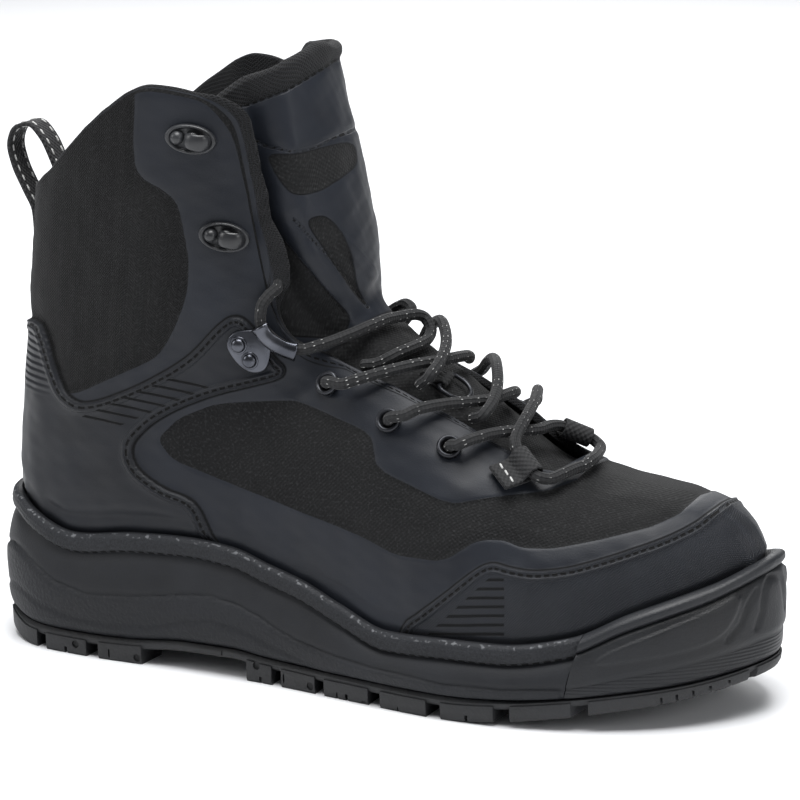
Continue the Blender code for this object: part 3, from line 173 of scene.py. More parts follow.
last = {
    "length": 0.318,
    "ball": 0.118,
    "gap": 0.0003,
    "soleInset": 0.0035,
    "lipWall": 0.003,
    "featherRise": 0.005,
    "blend": 0.10,
    "outline": (    # share of length, lateral and medial shares of half the ball width
        (0.000, 0.00, 0.00), (0.018, 0.34, 0.33), (0.075, 0.61, 0.57), (0.160, 0.70, 0.66),
        (0.280, 0.72, 0.65), (0.400, 0.76, 0.65), (0.520, 0.87, 0.74), (0.640, 0.98, 0.89),
        (0.740, 0.98, 0.98), (0.840, 0.85, 0.94), (0.925, 0.58, 0.78), (0.980, 0.22, 0.48),
        (1.000, -0.12, 0.12),
    ),
    "heights": (    # share of length, lip, floor, joint, root, face
        (0.00, 0.0590, 0.0300, 0.0150, 0.0115, 0.0060), (0.04, 0.0580, 0.0290, 0.0110, 0.0075, 0.0012),
        (0.07, 0.0545, 0.0280, 0.0095, 0.0055, 0.0000), (0.14, 0.0480, 0.0270, 0.0090, 0.0050, 0.0000),
        (0.22, 0.0510, 0.0260, 0.0095, 0.0055, 0.0000), (0.30, 0.0520, 0.0250, 0.0115, 0.0075, 0.0000),
        (0.36, 0.0505, 0.0240, 0.0115, 0.0075, 0.0000), (0.41, 0.0460, 0.0230, 0.0100, 0.0060, 0.0000),
        (0.46, 0.0420, 0.0210, 0.0095, 0.0055, 0.0000), (0.51, 0.0360, 0.0190, 0.0090, 0.0050, 0.0000),
        (0.58, 0.0290, 0.0165, 0.0090, 0.0050, 0.0000), (0.66, 0.0300, 0.0150, 0.0090, 0.0050, 0.0000),
        (0.73, 0.0305, 0.0155, 0.0100, 0.0065, 0.0018), (0.81, 0.0350, 0.0175, 0.0125, 0.0095, 0.0055),
        (0.87, 0.0440, 0.0200, 0.0150, 0.0120, 0.0085), (0.92, 0.0500, 0.0220, 0.0170, 0.0140, 0.0110),
        (0.95, 0.0535, 0.0235, 0.0185, 0.0155, 0.0130), (1.00, 0.0620, 0.0260, 0.0215, 0.0190, 0.0170),
    ),
    "foot": (       # share of length, top line, squareness, ridge
        (0.05, 0.0700, 2.4, 0.000), (0.15, 0.0880, 2.4, 0.000), (0.28, 0.1120, 2.4, 0.002),
        (0.38, 0.1340, 2.5, 0.005), (0.48, 0.1365, 2.6, 0.007), (0.56, 0.1250, 2.6, 0.007),
        (0.64, 0.1090, 2.5, 0.007), (0.72, 0.0915, 2.4, 0.006), (0.78, 0.0850, 2.4, 0.006),
        (0.84, 0.0820, 2.4, 0.006), (0.90, 0.0795, 2.5, 0.006), (0.945, 0.0740, 2.5, 0.006),
        (0.965, 0.0680, 2.5, 0.006), (0.982, 0.0580, 2.4, 0.006),
    ),
    "shaft": (      # z, back, front, half width
        (0.015, 0.0060, 0.120, 0.0365), (0.055, 0.0062, 0.130, 0.0370), (0.095, 0.0085, 0.150, 0.0360),
        (0.120, 0.0110, 0.160, 0.0365), (0.145, 0.0130, 0.150, 0.0385), (0.180, 0.0160, 0.139, 0.0415),
        (0.220, 0.0200, 0.131, 0.0450),
    ),
    "opening": (    # x, z, axis x, axis z
        (0.0160, 0.178, 0.070, 0.176), (0.0230, 0.180, 0.070, 0.178), (0.0320, 0.186, 0.070, 0.184),
        (0.0450, 0.197, 0.072, 0.194), (0.0650, 0.214, 0.075, 0.208), (0.0850, 0.225, 0.080, 0.217),
        (0.1020, 0.2225, 0.084, 0.213), (0.1140, 0.212, 0.086, 0.203), (0.1175, 0.196, 0.087, 0.188),
        (0.1215, 0.172, 0.088, 0.164), (0.1260, 0.150, 0.092, 0.140), (0.1300, 0.1385, 0.098, 0.124),
        (0.1380, 0.129, 0.106, 0.108), (0.1490, 0.1245, 0.116, 0.094), (0.1625, 0.1205, 0.130, 0.084),
        (0.1850, 0.112, 0.150, 0.072), (0.2055, 0.102, 0.172, 0.060), (0.2190, 0.094, 0.188, 0.052),
        (0.2290, 0.0885, 0.202, 0.046), (0.2370, 0.0865, 0.214, 0.040),
    ),
}
lip, floor, joint, root, face = 1, 2, 3, 4, 5
heightTable, footTable, shaftTable = (np.array(last[k]) for k in ("heights", "foot", "shaft"))
upperInset = last["soleInset"] + last["lipWall"] + 2 * last["gap"]


def soleOutline(columns):
    length, half = last["length"], last["ball"] / 2
    lateral = [(x * length, -w * half) for x, w, _ in last["outline"]]
    medial = [(x * length, w * half) for x, _, w in last["outline"]]
    loop = lateral + medial[-2:0:-1]
    toe = len(lateral) - 1
    dense = closedSpline(loop, 24)
    out = []
    for part in (dense[: toe * 24 + 1], np.vstack([dense[toe * 24 :], dense[:1]])):
        run = runAlong(part)
        wanted = np.linspace(0, run[-1], columns // 2 + 1)[:-1]
        out.append(np.column_stack([np.interp(wanted, run, part[:, k]) for k in (0, 1)]))
    return np.vstack(out)


def inset(outline, distance):
    along = units(np.roll(outline, -1, 0) - np.roll(outline, 1, 0))
    inward = np.column_stack([-along[:, 1], along[:, 0]])
    return outline + inward * np.broadcast_to(distance, len(outline))[:, None]


def soleHeight(column, x):
    return smooth(np.asarray(x) / last["length"], heightTable[:, 0], heightTable[:, column])


def halfWidths(x):
    line = inset(soleOutline(48), upperInset)
    wide = []
    for side in (line[:25], np.vstack([line[24:], line[:1]])[::-1]):
        order = np.maximum.accumulate(side[:, 0])
        wide.append(np.interp(x, order + np.arange(len(order)) * 1e-9, np.abs(side[:, 1])))
    return wide


halfX = np.linspace(0.0, last["length"], 400)
halfLateral, halfMedial = halfWidths(halfX)


# Below 0 inside the upper's outer surface, above 0 outside
def bootForm(p):
    x, y, z = p[:, 0], p[:, 1], p[:, 2]
    share = x / last["length"]
    top, power, ridge = (smooth(share, footTable[:, 0], footTable[:, k]) for k in (1, 2, 3))
    lateral, medial = np.interp(x, halfX, halfLateral), np.interp(x, halfX, halfMedial)
    past = np.maximum(x - (last["length"] - upperInset), upperInset - x)
    lean = y - ridge
    wide = np.maximum(np.where(lean < 0, lateral + ridge, medial - ridge), 0.0015)
    low = soleHeight(floor, x) + 0.012
    rise = np.maximum(z - low, 0) / np.maximum(top - low, 0.004)
    foot = np.maximum((np.abs(lean / wide) ** power + rise**power) ** (1 / power), 1 + past / 0.03) - 1
    back, front, half = (smooth(z, shaftTable[:, 0], shaftTable[:, k]) for k in (1, 2, 3))
    shaft = np.abs((x - (back + front) / 2) / ((front - back) / 2)) ** 2.25 + np.abs(y / half) ** 2.25
    shaft = shaft ** (1 / 2.25) - 1
    h = np.clip(0.5 + 0.5 * (shaft - foot) / last["blend"], 0, 1)
    boot = shaft * (1 - h) + foot * h - last["blend"] * h * (1 - h)
    above = np.maximum(z - soleHeight(lip, x) - 0.007, 0)
    wide = np.maximum(np.where(y < 0, lateral, medial) - last["gap"], 0.0015)
    cup = np.maximum(np.abs(y) / wide - 1, past / 0.03) - above / 0.06
    return np.maximum(boot, cup)


# How far each point can go from low towards high and stay inside, found by halving
def lastInside(low, high, pointsAt, rounds=30):
    for _ in range(rounds):
        middle = (low + high) / 2
        inside = bootForm(pointsAt(middle)) < 0
        low, high = np.where(inside, middle, low), np.where(inside, high, middle)
    return low


def castOut(start, guide):
    way = guide - start
    reach = lastInside(np.zeros(len(way)), np.full(len(way), 2.2), lambda t: start + way * t[:, None])
    return start + way * reach[:, None]


def formNormals(p, step=0.0015):
    slope = np.zeros_like(p)
    for k in range(3):
        shift = np.zeros(3)
        shift[k] = step
        slope[:, k] = bootForm(p + shift) - bootForm(p - shift)
    return units(slope)


def openingEdge(columns):
    half = curveThrough(last["opening"], columns // 2 + 1)
    flat = np.vstack([half, half[-2:0:-1]])
    side = np.ones(columns)
    side[: columns // 2 + 1] = -1
    start = np.column_stack([flat[:, 2], np.zeros(columns), flat[:, 3]])
    edge = np.column_stack([flat[:, 0], np.zeros(columns), flat[:, 1]])
    edge[:, 1] = side * lastInside(np.zeros(columns), np.full(columns, 0.08),
                                   lambda y: np.column_stack([edge[:, 0], y * side, edge[:, 2]]), 34)
    for middle in (0, columns // 2):
        edge[middle, 1] = 0.0
        edge[middle] = castOut(start[middle : middle + 1], edge[middle : middle + 1])[0]
    return edge, start


# Rows of points of the upper's outer surface, from the sole up to the opening
def bootSurface(columns, rows):
    line = inset(soleOutline(columns), upperInset)
    base = np.column_stack([line, soleHeight(floor, line[:, 0]) + last["gap"]])
    edge, edgeStart = openingEdge(columns)
    baseStart = np.column_stack(
        [np.clip(base[:, 0], 0.050, 0.262), np.zeros(columns), base[:, 2] + 0.006]
    )
    v = np.linspace(0, 1, rows + 1)[1:-1, None, None]
    guide = base * (1 - v) + edge * v
    start = baseStart * (1 - v) + edgeStart * v
    body = castOut(start.reshape(-1, 3), guide.reshape(-1, 3)).reshape(rows - 1, columns, 3)
    return np.concatenate([base[None], (base + (0, 0, last["featherRise"]))[None], body, edge[None]])


# The form's point and normal on a way that starts inside it
def surfaceAt(low, high, pointAt):
    point = pointAt(lastInside(np.array([low]), np.array([high]), pointAt))
    return point[0], formNormals(point)[0]


def onSide(x, z, side):
    return surfaceAt(0.0, 0.08, lambda y: np.array([[x, side * y[0], z]]))


def onTop(x, y):
    return surfaceAt(0.03, 0.18, lambda z: np.array([[x, y, z[0]]]))


# meshes
def makePiece(name, points, faces, smoothed=True):
    mesh = bpy.data.meshes.new(name)
    mesh.from_pydata([tuple(p) for p in np.asarray(points, float)], [], faces)
    piece = bpy.data.objects.new(name, mesh)
    scene.collection.objects.link(piece)
    mesh.polygons.foreach_set("use_smooth", [smoothed] * len(mesh.polygons))
    return piece


# Turns a piece's faces outward, after joining points that lie together
def faceOut(piece, merge=0.0):
    shape = bmesh.new()
    shape.from_mesh(piece.data)
    if merge:
        bmesh.ops.remove_doubles(shape, verts=shape.verts, dist=merge)
    bmesh.ops.recalc_face_normals(shape, faces=shape.faces)
    shape.to_mesh(piece.data)
    shape.free()
    return piece


# Selects some pieces, the first of them active
def choose(*pieces):
    bpy.ops.object.select_all(action="DESELECT")
    for piece in pieces:
        piece.select_set(True)
    bpy.context.view_layer.objects.active = pieces[0]


def smoothByAngle(piece, degrees):
    choose(piece)
    bpy.ops.object.shade_smooth_by_angle(angle=math.radians(degrees))


def gridFaces(rows, columns, closed=True, flip=False):
    r, c = np.meshgrid(np.arange(rows - 1), np.arange(columns if closed else columns - 1), indexing="ij")
    r, c = r.ravel(), c.ravel()
    d = (c + 1) % columns
    quads = np.stack([r * columns + c, r * columns + d, (r + 1) * columns + d, (r + 1) * columns + c], 1)
    return (quads[:, ::-1] if flip else quads).tolist()


# Faces of levels of points, closed at both ends
def tubeFaces(levels, count):
    top = (levels - 1) * count
    return gridFaces(levels, count) + [list(range(top, top + count)), list(range(count))[::-1]]


# Faces of two sheets of points joined at their four edges, some of these turned over
def padFaces(rows, columns, turns=(False, False, False, False)):
    count = rows * columns
    back = np.array(gridFaces(rows, columns, closed=False, flip=True)) + count
    faces = gridFaces(rows, columns, closed=False) + back.tolist()
    lines = (range(columns), range(count - columns, count), range(0, count, columns),
             range(columns - 1, count, columns))
    for line, turn in zip(lines, turns):
        for a, b in zip(line[:-1], line[1:]):
            quad = [a, a + count, b + count, b]
            faces.append(quad[::-1] if turn else quad)
    return faces


def setValues(piece, name, values):
    layer = piece.data.attributes.new(name, "FLOAT", "POINT")
    layer.data.foreach_set("value", np.asarray(values, np.float32).ravel())


def setUv(piece, uv):
    layer = piece.data.uv_layers.new(name="UVMap")
    index = np.empty(len(piece.data.loops), int)
    piece.data.loops.foreach_get("vertex_index", index)
    layer.data.foreach_set("uv", np.asarray(uv, np.float32).reshape(-1, 2)[index].ravel())


# Distance along each row or column of a grid of points
def gridRun(grid, axis):
    return np.cumsum(np.insert(np.linalg.norm(np.diff(grid, axis=axis), axis=2), 0, 0, axis=axis), axis=axis)


# Outward normals of a grid of points, from its own neighbours
def gridNormals(grid, closed=True):
    along = np.gradient(grid, axis=1)
    if closed:
        along = (np.roll(grid, -1, 1) - np.roll(grid, 1, 1)) / 2
    up = np.gradient(grid, axis=0)
    normal = np.cross(along, up)
    return normal / np.maximum(np.linalg.norm(normal, axis=2, keepdims=True), 1e-12)


# Distance to a line in the plane, and how far along it the nearest point is
def measureLine(points, line, closed=False):
    line = np.asarray(line, float)
    ends = np.roll(line, -1, 0) if closed else line[1:]
    best, run, before = np.full(len(points), 1e9), np.zeros(len(points)), 0.0
    for a, b in zip(line if closed else line[:-1], ends):
        way = b - a
        length = math.hypot(*way)
        t = np.clip(((points - a) @ way) / max(length**2, 1e-12), 0, 1)
        away = np.hypot(*(points - a - t[:, None] * way).T)
        closer = away < best
        best = np.where(closer, away, best)
        run = np.where(closer, before + t * length, run)
        before += length
    return best, run


# Distance to a closed outline in the plane, above 0 inside it
def areaDistance(points, outline):
    outline = np.asarray(outline, float)
    inside = np.zeros(len(points), bool)
    for a, b in zip(outline, np.roll(outline, -1, 0)):
        if a[1] == b[1]:
            continue
        crosses = (a[1] > points[:, 1]) != (b[1] > points[:, 1])
        inside ^= crosses & (points[:, 0] < (b[0] - a[0]) * (points[:, 1] - a[1]) / (b[1] - a[1]) + a[0])
    away = measureLine(points, outline, True)[0]
    return np.where(inside, away, -away)


def step(x, low, high):
    t = np.clip((x - low) / (high - low), 0, 1)
    return t * t * (3 - 2 * t)


def hump(x, centre, width):
    return np.exp(-(((x - centre) / width) ** 2))


# node helpers and the groups that several finishes share
def wire(tree, kind, inputs=None, **settings):
    node = tree.nodes.new(kind)
    for key, value in settings.items():
        setattr(node, key, value)
    for key, value in (inputs or {}).items():
        if isinstance(value, bpy.types.NodeSocket):
            tree.links.new(value, node.inputs[key])
        else:
            node.inputs[key].default_value = value
    return node


def calc(tree, operation, *values, clamp=False):
    return wire(tree, "ShaderNodeMath", dict(enumerate(values)), operation=operation,
                use_clamp=clamp).outputs[0]


def operation(name):
    return lambda tree, *values, **options: calc(tree, name, *values, **options)


times, plus, minus, most, timesPlus = [operation(name) for name in (
    "MULTIPLY", "ADD", "SUBTRACT", "MAXIMUM", "MULTIPLY_ADD")]


def mixed(tree, factor, a, b):
    return wire(tree, "ShaderNodeMix", {0: factor, 6: a, 7: b}, data_type="RGBA").outputs[2]


def ramp(tree, value, low, high, first=0.0, last=1.0):
    return wire(tree, "ShaderNodeMapRange", {0: value, 1: low, 2: high, 3: first, 4: last}).outputs[0]


# A value's ramp over its distance from another
def nearTo(tree, value, middle, low, high):
    return ramp(tree, calc(tree, "ABSOLUTE", minus(tree, value, middle)), low, high)


def measured(tree, name):
    return wire(tree, "ShaderNodeAttribute", attribute_name=name).outputs["Fac"]


def newGroup(name, inputs, outputs):
    group = bpy.data.node_groups.new(name, "ShaderNodeTree")
    for label, kind, value in inputs:
        socket = group.interface.new_socket(label, in_out="INPUT", socket_type="NodeSocket" + kind)
        if value is not None:
            socket.default_value = value
    for label in outputs:
        group.interface.new_socket(label, in_out="OUTPUT", socket_type="NodeSocketFloat")
    return group, group.nodes.new("NodeGroupInput").outputs, group.nodes.new("NodeGroupOutput").inputs


def useGroup(tree, group, **values):
    node = wire(tree, "ShaderNodeGroup", node_tree=group)
    for key, value in values.items():
        if isinstance(value, bpy.types.NodeSocket):
            tree.links.new(value, node.inputs[key])
        else:
            node.inputs[key].default_value = value
    return node.outputs


# Over and under threads, with some lighter ones
def makeWeave():
    tree, given, out = newGroup("weave", [("Vector", "Vector", None), ("Pitch", "Float", 0.001)],
                                ["Height", "Tone"])
    parts = wire(tree, "ShaderNodeSeparateXYZ", {0: given["Vector"]}).outputs
    around = calc(tree, "DIVIDE", math.pi, given["Pitch"])
    a = times(tree, parts[0], around)
    b = times(tree, parts[1], around)
    cross = times(tree, calc(tree, "SINE", a), calc(tree, "SINE", b))
    tree.links.new(timesPlus(tree, cross, 0.5, 0.5), out["Height"])
    fleck = wire(tree, "ShaderNodeTexNoise", {"Vector": given["Vector"], "Scale": 900.0, "Detail": 2.0})
    tree.links.new(ramp(tree, fleck.outputs[0], 0.52, 0.74), out["Tone"])
    return tree


# Slanted ribs that turn over from band to band
def makeTwill():
    tree, given, out = newGroup("twill", [("Vector", "Vector", None), ("Pitch", "Float", 0.001),
                                          ("Band", "Float", 0.008)], ["Height", "Tone"])
    parts = wire(tree, "ShaderNodeSeparateXYZ", {0: given["Vector"]}).outputs
    side = calc(tree, "PINGPONG", parts[0], given["Band"])
    slanted = plus(tree, side, parts[1])
    turn = times(tree, slanted, calc(tree, "DIVIDE", 2 * math.pi, given["Pitch"]))
    rib = timesPlus(tree, calc(tree, "SINE", turn), 0.5, 0.5)
    thread = calc(tree, "SINE", times(tree, parts[0], calc(tree, "DIVIDE", 2 * math.pi, given["Pitch"])))
    tree.links.new(timesPlus(tree, thread, 0.18, rib), out["Height"])
    fleck = wire(tree, "ShaderNodeTexNoise", {"Vector": given["Vector"], "Scale": 700.0, "Detail": 2.0})
    tree.links.new(ramp(tree, fleck.outputs[0], 0.50, 0.72), out["Tone"])
    return tree


# Small round holes in staggered rows
def makeMesh3d():
    tree, given, out = newGroup("airMesh", [("Vector", "Vector", None), ("Pitch", "Float", 0.0015)],
                                ["Height", "Tone"])
    parts = wire(tree, "ShaderNodeSeparateXYZ", {0: given["Vector"]}).outputs
    around = calc(tree, "DIVIDE", math.pi, given["Pitch"])
    a = times(tree, plus(tree, parts[0], parts[1]), around)
    b = times(tree, minus(tree, parts[0], parts[1]), around)
    cross = times(tree, calc(tree, "SINE", a), calc(tree, "SINE", b))
    size = calc(tree, "ABSOLUTE", cross)
    tree.links.new(ramp(tree, size, 0.30, 0.75, 1.0, 0.0), out["Height"])
    tree.links.new(ramp(tree, size, 0.45, 0.85), out["Tone"])
    return tree


# Fine moulded grain and the larger blotches that handling leaves
def makeGrain():
    tree, given, out = newGroup("grain", [("Vector", "Vector", None), ("Size", "Float", 0.0006)],
                                ["Height", "Tone"])
    scale = calc(tree, "DIVIDE", 1.0, given["Size"])
    fine = wire(tree, "ShaderNodeTexNoise", {"Vector": given["Vector"], "Scale": scale, "Detail": 3.0,
                                             "Roughness": 0.6})
    cells = wire(tree, "ShaderNodeTexVoronoi", {"Vector": given["Vector"], "Scale": times(tree, scale, 0.8)})
    tree.links.new(timesPlus(tree, cells.outputs["Distance"], 0.5, fine.outputs[0]), out["Height"])
    broad = wire(tree, "ShaderNodeTexNoise", {"Vector": given["Vector"], "Scale": 26.0, "Detail": 4.0,
                                              "Roughness": 0.62})
    tree.links.new(ramp(tree, broad.outputs[0], 0.38, 0.68), out["Tone"])
    return tree


weave, twill, airMesh, grain = makeWeave(), makeTwill(), makeMesh3d(), makeGrain()


def newFinish(name, roughness=0.6, **shader):
    finish = bpy.data.materials.new(name)
    finish.use_nodes = True
    tree = finish.node_tree
    principled = tree.nodes["Principled BSDF"]
    principled.inputs["Roughness"].default_value = roughness
    for key, value in shader.items():
        principled.inputs[key.replace("_", " ").title().replace("Ior", "IOR")].default_value = value
    coordinates = wire(tree, "ShaderNodeTexCoord").outputs
    return finish, tree, principled.inputs, coordinates["Object"], coordinates["UV"]


def setBump(tree, sockets, height, distance, strength=1.0):
    bump = wire(tree, "ShaderNodeBump", {"Height": height, "Distance": distance, "Strength": strength})
    tree.links.new(bump.outputs[0], sockets["Normal"])


# A row of stitches at one distance from an edge, as a mask
def dashes(tree, run, away, centre, half, pitch=3.1, filled=0.66):
    lane = nearTo(tree, away, centre, half, half * 0.55)
    phase = calc(tree, "FRACT", calc(tree, "DIVIDE", run, pitch))
    return times(tree, lane, calc(tree, "LESS_THAN", phase, filled))


# Seven slots in a row: number counts them, along runs from end to end of one
def rowOfSlots(tree, number, along, half, start, end):
    beside = calc(tree, "ABSOLUTE", minus(tree, calc(tree, "FRACT", plus(tree, number, 0.5)), 0.5))
    width = ramp(tree, beside, half + 0.03, half - 0.03)
    inRow = times(tree, calc(tree, "GREATER_THAN", number, -0.45), calc(tree, "LESS_THAN", number, 6.45))
    inLength = times(tree, calc(tree, "GREATER_THAN", along, start), calc(tree, "LESS_THAN", along, end))
    return times(tree, width, times(tree, inRow, inLength))


colours = {       # linear
    "cloth": (0.0040, 0.0042, 0.0046, 1),
    "clothFleck": (0.018, 0.0185, 0.0195, 1),
    "rear": (0.0040, 0.0041, 0.0044, 1),
    "rearFleck": (0.013, 0.0133, 0.0142, 1),
    "film": (0.0060, 0.0077, 0.0120, 1),
    "filmLight": (0.0098, 0.0123, 0.0184, 1),
    "counter": (0.0058, 0.0068, 0.0095, 1),
    "capGap": (0.0060, 0.0065, 0.0080, 1),
    "lining": (0.0100, 0.0105, 0.0120, 1),
    "liningHole": (0.0028, 0.0028, 0.0030, 1),
    # dark thread colour, also mixed in as painted shade along grooves and panel edges
    "stitchAndShade": (0.0012, 0.0012, 0.0014, 1),
    "paleThread": (0.50, 0.50, 0.49, 1),
    "sole": (0.0070, 0.0078, 0.0098, 1),
    "soleLight": (0.0165, 0.0180, 0.0215, 1),
    "bandFleck": (0.16, 0.165, 0.175, 1),
    "bumper": (0.0062, 0.0068, 0.0082, 1),
    "bumperLight": (0.0130, 0.0142, 0.0168, 1),
    "tread": (0.0062, 0.0066, 0.0076, 1),
    "treadLight": (0.0150, 0.0158, 0.0180, 1),
    "gunmetal": (0.040, 0.043, 0.052, 1),
    "gunmetalWorn": (0.15, 0.155, 0.175, 1),
    "eyelet": (0.011, 0.0115, 0.014, 1),
    "eyeletWorn": (0.055, 0.058, 0.066, 1),
    "hook": (0.0120, 0.0125, 0.0140, 1),
    "hookLight": (0.035, 0.037, 0.041, 1),
    "webbing": (0.0065, 0.0067, 0.0074, 1),
    "webbingLight": (0.022, 0.0225, 0.0245, 1),
    "lace": (0.0042, 0.0044, 0.0050, 1),
    "laceLight": (0.019, 0.0198, 0.022, 1),
    "laceFleck": (0.42, 0.42, 0.41, 1),
    "knit": (0.018, 0.019, 0.021, 1),
    "knitLight": (0.055, 0.057, 0.062, 1),
}


pitches = {       # metres from one thread, hole or grain to the next
    "thread": 0.00095,
    "twill": 0.00125,
    "band": 0.0042,
    "mesh": 0.0016,
    "capMesh": 0.00105,
    "pore": 0.00045,
    "solePore": 0.0007,
    "soleGrain": 0.0013,
}


def upperFinish():
    finish, tree, sockets, place, uv = newFinish("upperCloth", 0.62, specular_ior_level=0.30,
                                                 sheen_weight=0.04, sheen_roughness=0.45)
    edge = {key: measured(tree, key) for key in (
        "window", "rear", "counter", "cap", "trimRun", "trimEdge", "inside", "ribs",
        "slotNumber", "slotAlong", "slitNumber", "slitAlong", "rimRun", "rimEdge",
    )}
    mask = {key: ramp(tree, edge[key], -0.12, 0.12) for key in ("window", "rear", "counter", "cap", "inside")}
    threads = useGroup(tree, weave, Vector=uv, Pitch=pitches["thread"])
    ribs = useGroup(tree, twill, Vector=uv, Pitch=pitches["twill"], Band=pitches["band"])
    pores = useGroup(tree, grain, Vector=place, Size=pitches["pore"])
    holes = useGroup(tree, airMesh, Vector=uv, Pitch=pitches["mesh"])
    fine = useGroup(tree, airMesh, Vector=uv, Pitch=pitches["capMesh"])
    film = mixed(tree, pores["Tone"], colours["film"], colours["filmLight"])
    cap = mixed(tree, times(tree, fine["Tone"], 0.75), film, colours["capGap"])
    cloth = mixed(tree, threads["Tone"], colours["cloth"], colours["clothFleck"])
    rear = mixed(tree, times(tree, ribs["Tone"], 0.8), colours["rear"], colours["rearFleck"])
    lining = mixed(tree, holes["Tone"], colours["lining"], colours["liningHole"])
    colour = mixed(tree, mask["window"], film, cloth)
    colour = mixed(tree, mask["rear"], colour, rear)
    colour = mixed(tree, mask["cap"], colour, cap)
    colour = mixed(tree, mask["counter"], colour, mixed(tree, pores["Tone"], colours["counter"],
                                                        colours["film"]))
    counterSlot = rowOfSlots(tree, edge["slotNumber"], edge["slotAlong"], 0.14, 0.0, 1.0)
    capSlot = rowOfSlots(tree, edge["slitNumber"], edge["slitAlong"], 0.17, 0.0,
                         plus(tree, edge["slitNumber"], 1.75))
    slot = most(tree, counterSlot, capSlot)
    colour = mixed(tree, times(tree, slot, 0.85), colour, colours["stitchAndShade"])
    stitches = dashes(tree, edge["trimRun"], edge["trimEdge"], 2.0, 0.62)
    stitches = most(tree, stitches, dashes(tree, edge["rimRun"], edge["rimEdge"], 3.0, 0.6))
    # painted shade: dark lines in the groove along the overlay stitches, at the foot of the counter's and
    # cap's edges and along the lower edge of the collar binding, mixed toward the stitch colour
    grooveShade = nearTo(tree, edge["trimEdge"], 2.0, 0.9, 0.2)
    edgeShade = nearTo(tree, edge["trimEdge"], -0.25, 0.7, 0.2)
    shade = most(tree, times(tree, grooveShade, 0.15), times(tree, edgeShade, 0.9))
    bindingEdgeShade = nearTo(tree, edge["rimEdge"], 5.2, 0.6, 0.2)
    shade = most(tree, shade, times(tree, bindingEdgeShade, 0.8))
    shade = times(tree, shade, ramp(tree, mask["inside"], 1.0, 0.0))
    colour = mixed(tree, shade, colour, colours["stitchAndShade"])
    colour = mixed(tree, stitches, colour, colours["stitchAndShade"])
    colour = mixed(tree, mask["inside"], colour, lining)
    tree.links.new(colour, sockets["Base Color"])
    clothShare = most(tree, mask["window"], most(tree, mask["rear"], mask["inside"]))
    rough = ramp(tree, clothShare, 0.0, 1.0, 0.47, 0.86)
    rough = timesPlus(tree, pores["Tone"], 0.10, rough)
    dark = most(tree, most(tree, stitches, shade), slot)
    tree.links.new(ramp(tree, dark, 0.0, 1.0, rough, 1.0), sockets["Roughness"])
    beadA = nearTo(tree, edge["trimEdge"], 0.9, 0.8, 0.0)
    beadB = nearTo(tree, edge["trimEdge"], 3.1, 0.9, 0.0)
    beads = calc(tree, "SQRT", most(tree, beadA, beadB))
    cloth = times(tree, threads["Height"], times(tree, mask["window"], 0.16))
    twilled = times(tree, ribs["Height"], times(tree, mask["rear"], 0.22))
    inner = times(tree, holes["Height"], times(tree, mask["inside"], 0.6))
    meshed = times(tree, fine["Height"], times(tree, mask["cap"], 0.22))
    total = plus(tree, plus(tree, cloth, twilled), plus(tree, inner, meshed))
    outer = minus(tree, 1.0, mask["inside"])
    total = plus(tree, total, times(tree, times(tree, beads, 0.75), outer))
    total = plus(tree, total, times(tree, stitches, 0.35))
    total = plus(tree, total, times(tree, pores["Height"], 0.05))
    total = minus(tree, total, times(tree, slot, 0.8))
    up = wire(tree, "ShaderNodeSeparateXYZ", {0: place}).outputs[2]
    wave = calc(tree, "SINE", times(tree, up, 2 * math.pi / 0.0026))
    total = timesPlus(tree, times(tree, wave, edge["ribs"]), 0.5, total)
    setBump(tree, sockets, total, 0.001, 0.9)
    return finish


def tongueFinish():
    finish, tree, sockets, place, uv = newFinish("tongueCloth", 0.66, specular_ior_level=0.30,
                                                 sheen_weight=0.04, sheen_roughness=0.45)
    cloth = ramp(tree, measured(tree, "cloth"), -0.12, 0.12)
    open3d = ramp(tree, measured(tree, "airy"), -0.12, 0.12)
    threads = useGroup(tree, weave, Vector=uv, Pitch=pitches["thread"])
    holes = useGroup(tree, airMesh, Vector=uv, Pitch=pitches["mesh"])
    pores = useGroup(tree, grain, Vector=place, Size=pitches["pore"])
    film = mixed(tree, pores["Tone"], colours["film"], colours["filmLight"])
    woven = mixed(tree, threads["Tone"], colours["cloth"], colours["clothFleck"])
    colour = mixed(tree, cloth, film, woven)
    colour = mixed(tree, open3d, colour, mixed(tree, holes["Tone"], colours["lining"], colours["liningHole"]))
    stitches = dashes(tree, measured(tree, "seamRun"), measured(tree, "seam"), 0.0, 0.62)
    # painted shade: dark lines in the seam grooves and along the edges of the cloth panels, mixed toward the
    # stitch colour
    grooveShade = times(tree, ramp(tree, measured(tree, "seam"), 1.1, 0.2), 0.12)
    rim = nearTo(tree, measured(tree, "cloth"), -0.1, 0.5, 0.1)
    colour = mixed(tree, most(tree, grooveShade, times(tree, rim, 0.8)), colour, colours["stitchAndShade"])
    colour = mixed(tree, stitches, colour, colours["stitchAndShade"])
    tree.links.new(colour, sockets["Base Color"])
    rough = ramp(tree, most(tree, cloth, open3d), 0.0, 1.0, 0.48, 0.86)
    tree.links.new(ramp(tree, most(tree, stitches, rim), 0.0, 1.0, rough, 1.0), sockets["Roughness"])
    groove = ramp(tree, measured(tree, "seam"), 0.0, 0.9)
    total = timesPlus(tree, threads["Height"], times(tree, cloth, 0.16), times(tree, groove, 0.5))
    total = timesPlus(tree, holes["Height"], times(tree, open3d, 0.6), total)
    total = timesPlus(tree, stitches, 0.4, total)
    total = timesPlus(tree, pores["Height"], 0.05, total)
    setBump(tree, sockets, total, 0.001, 0.9)
    return finish


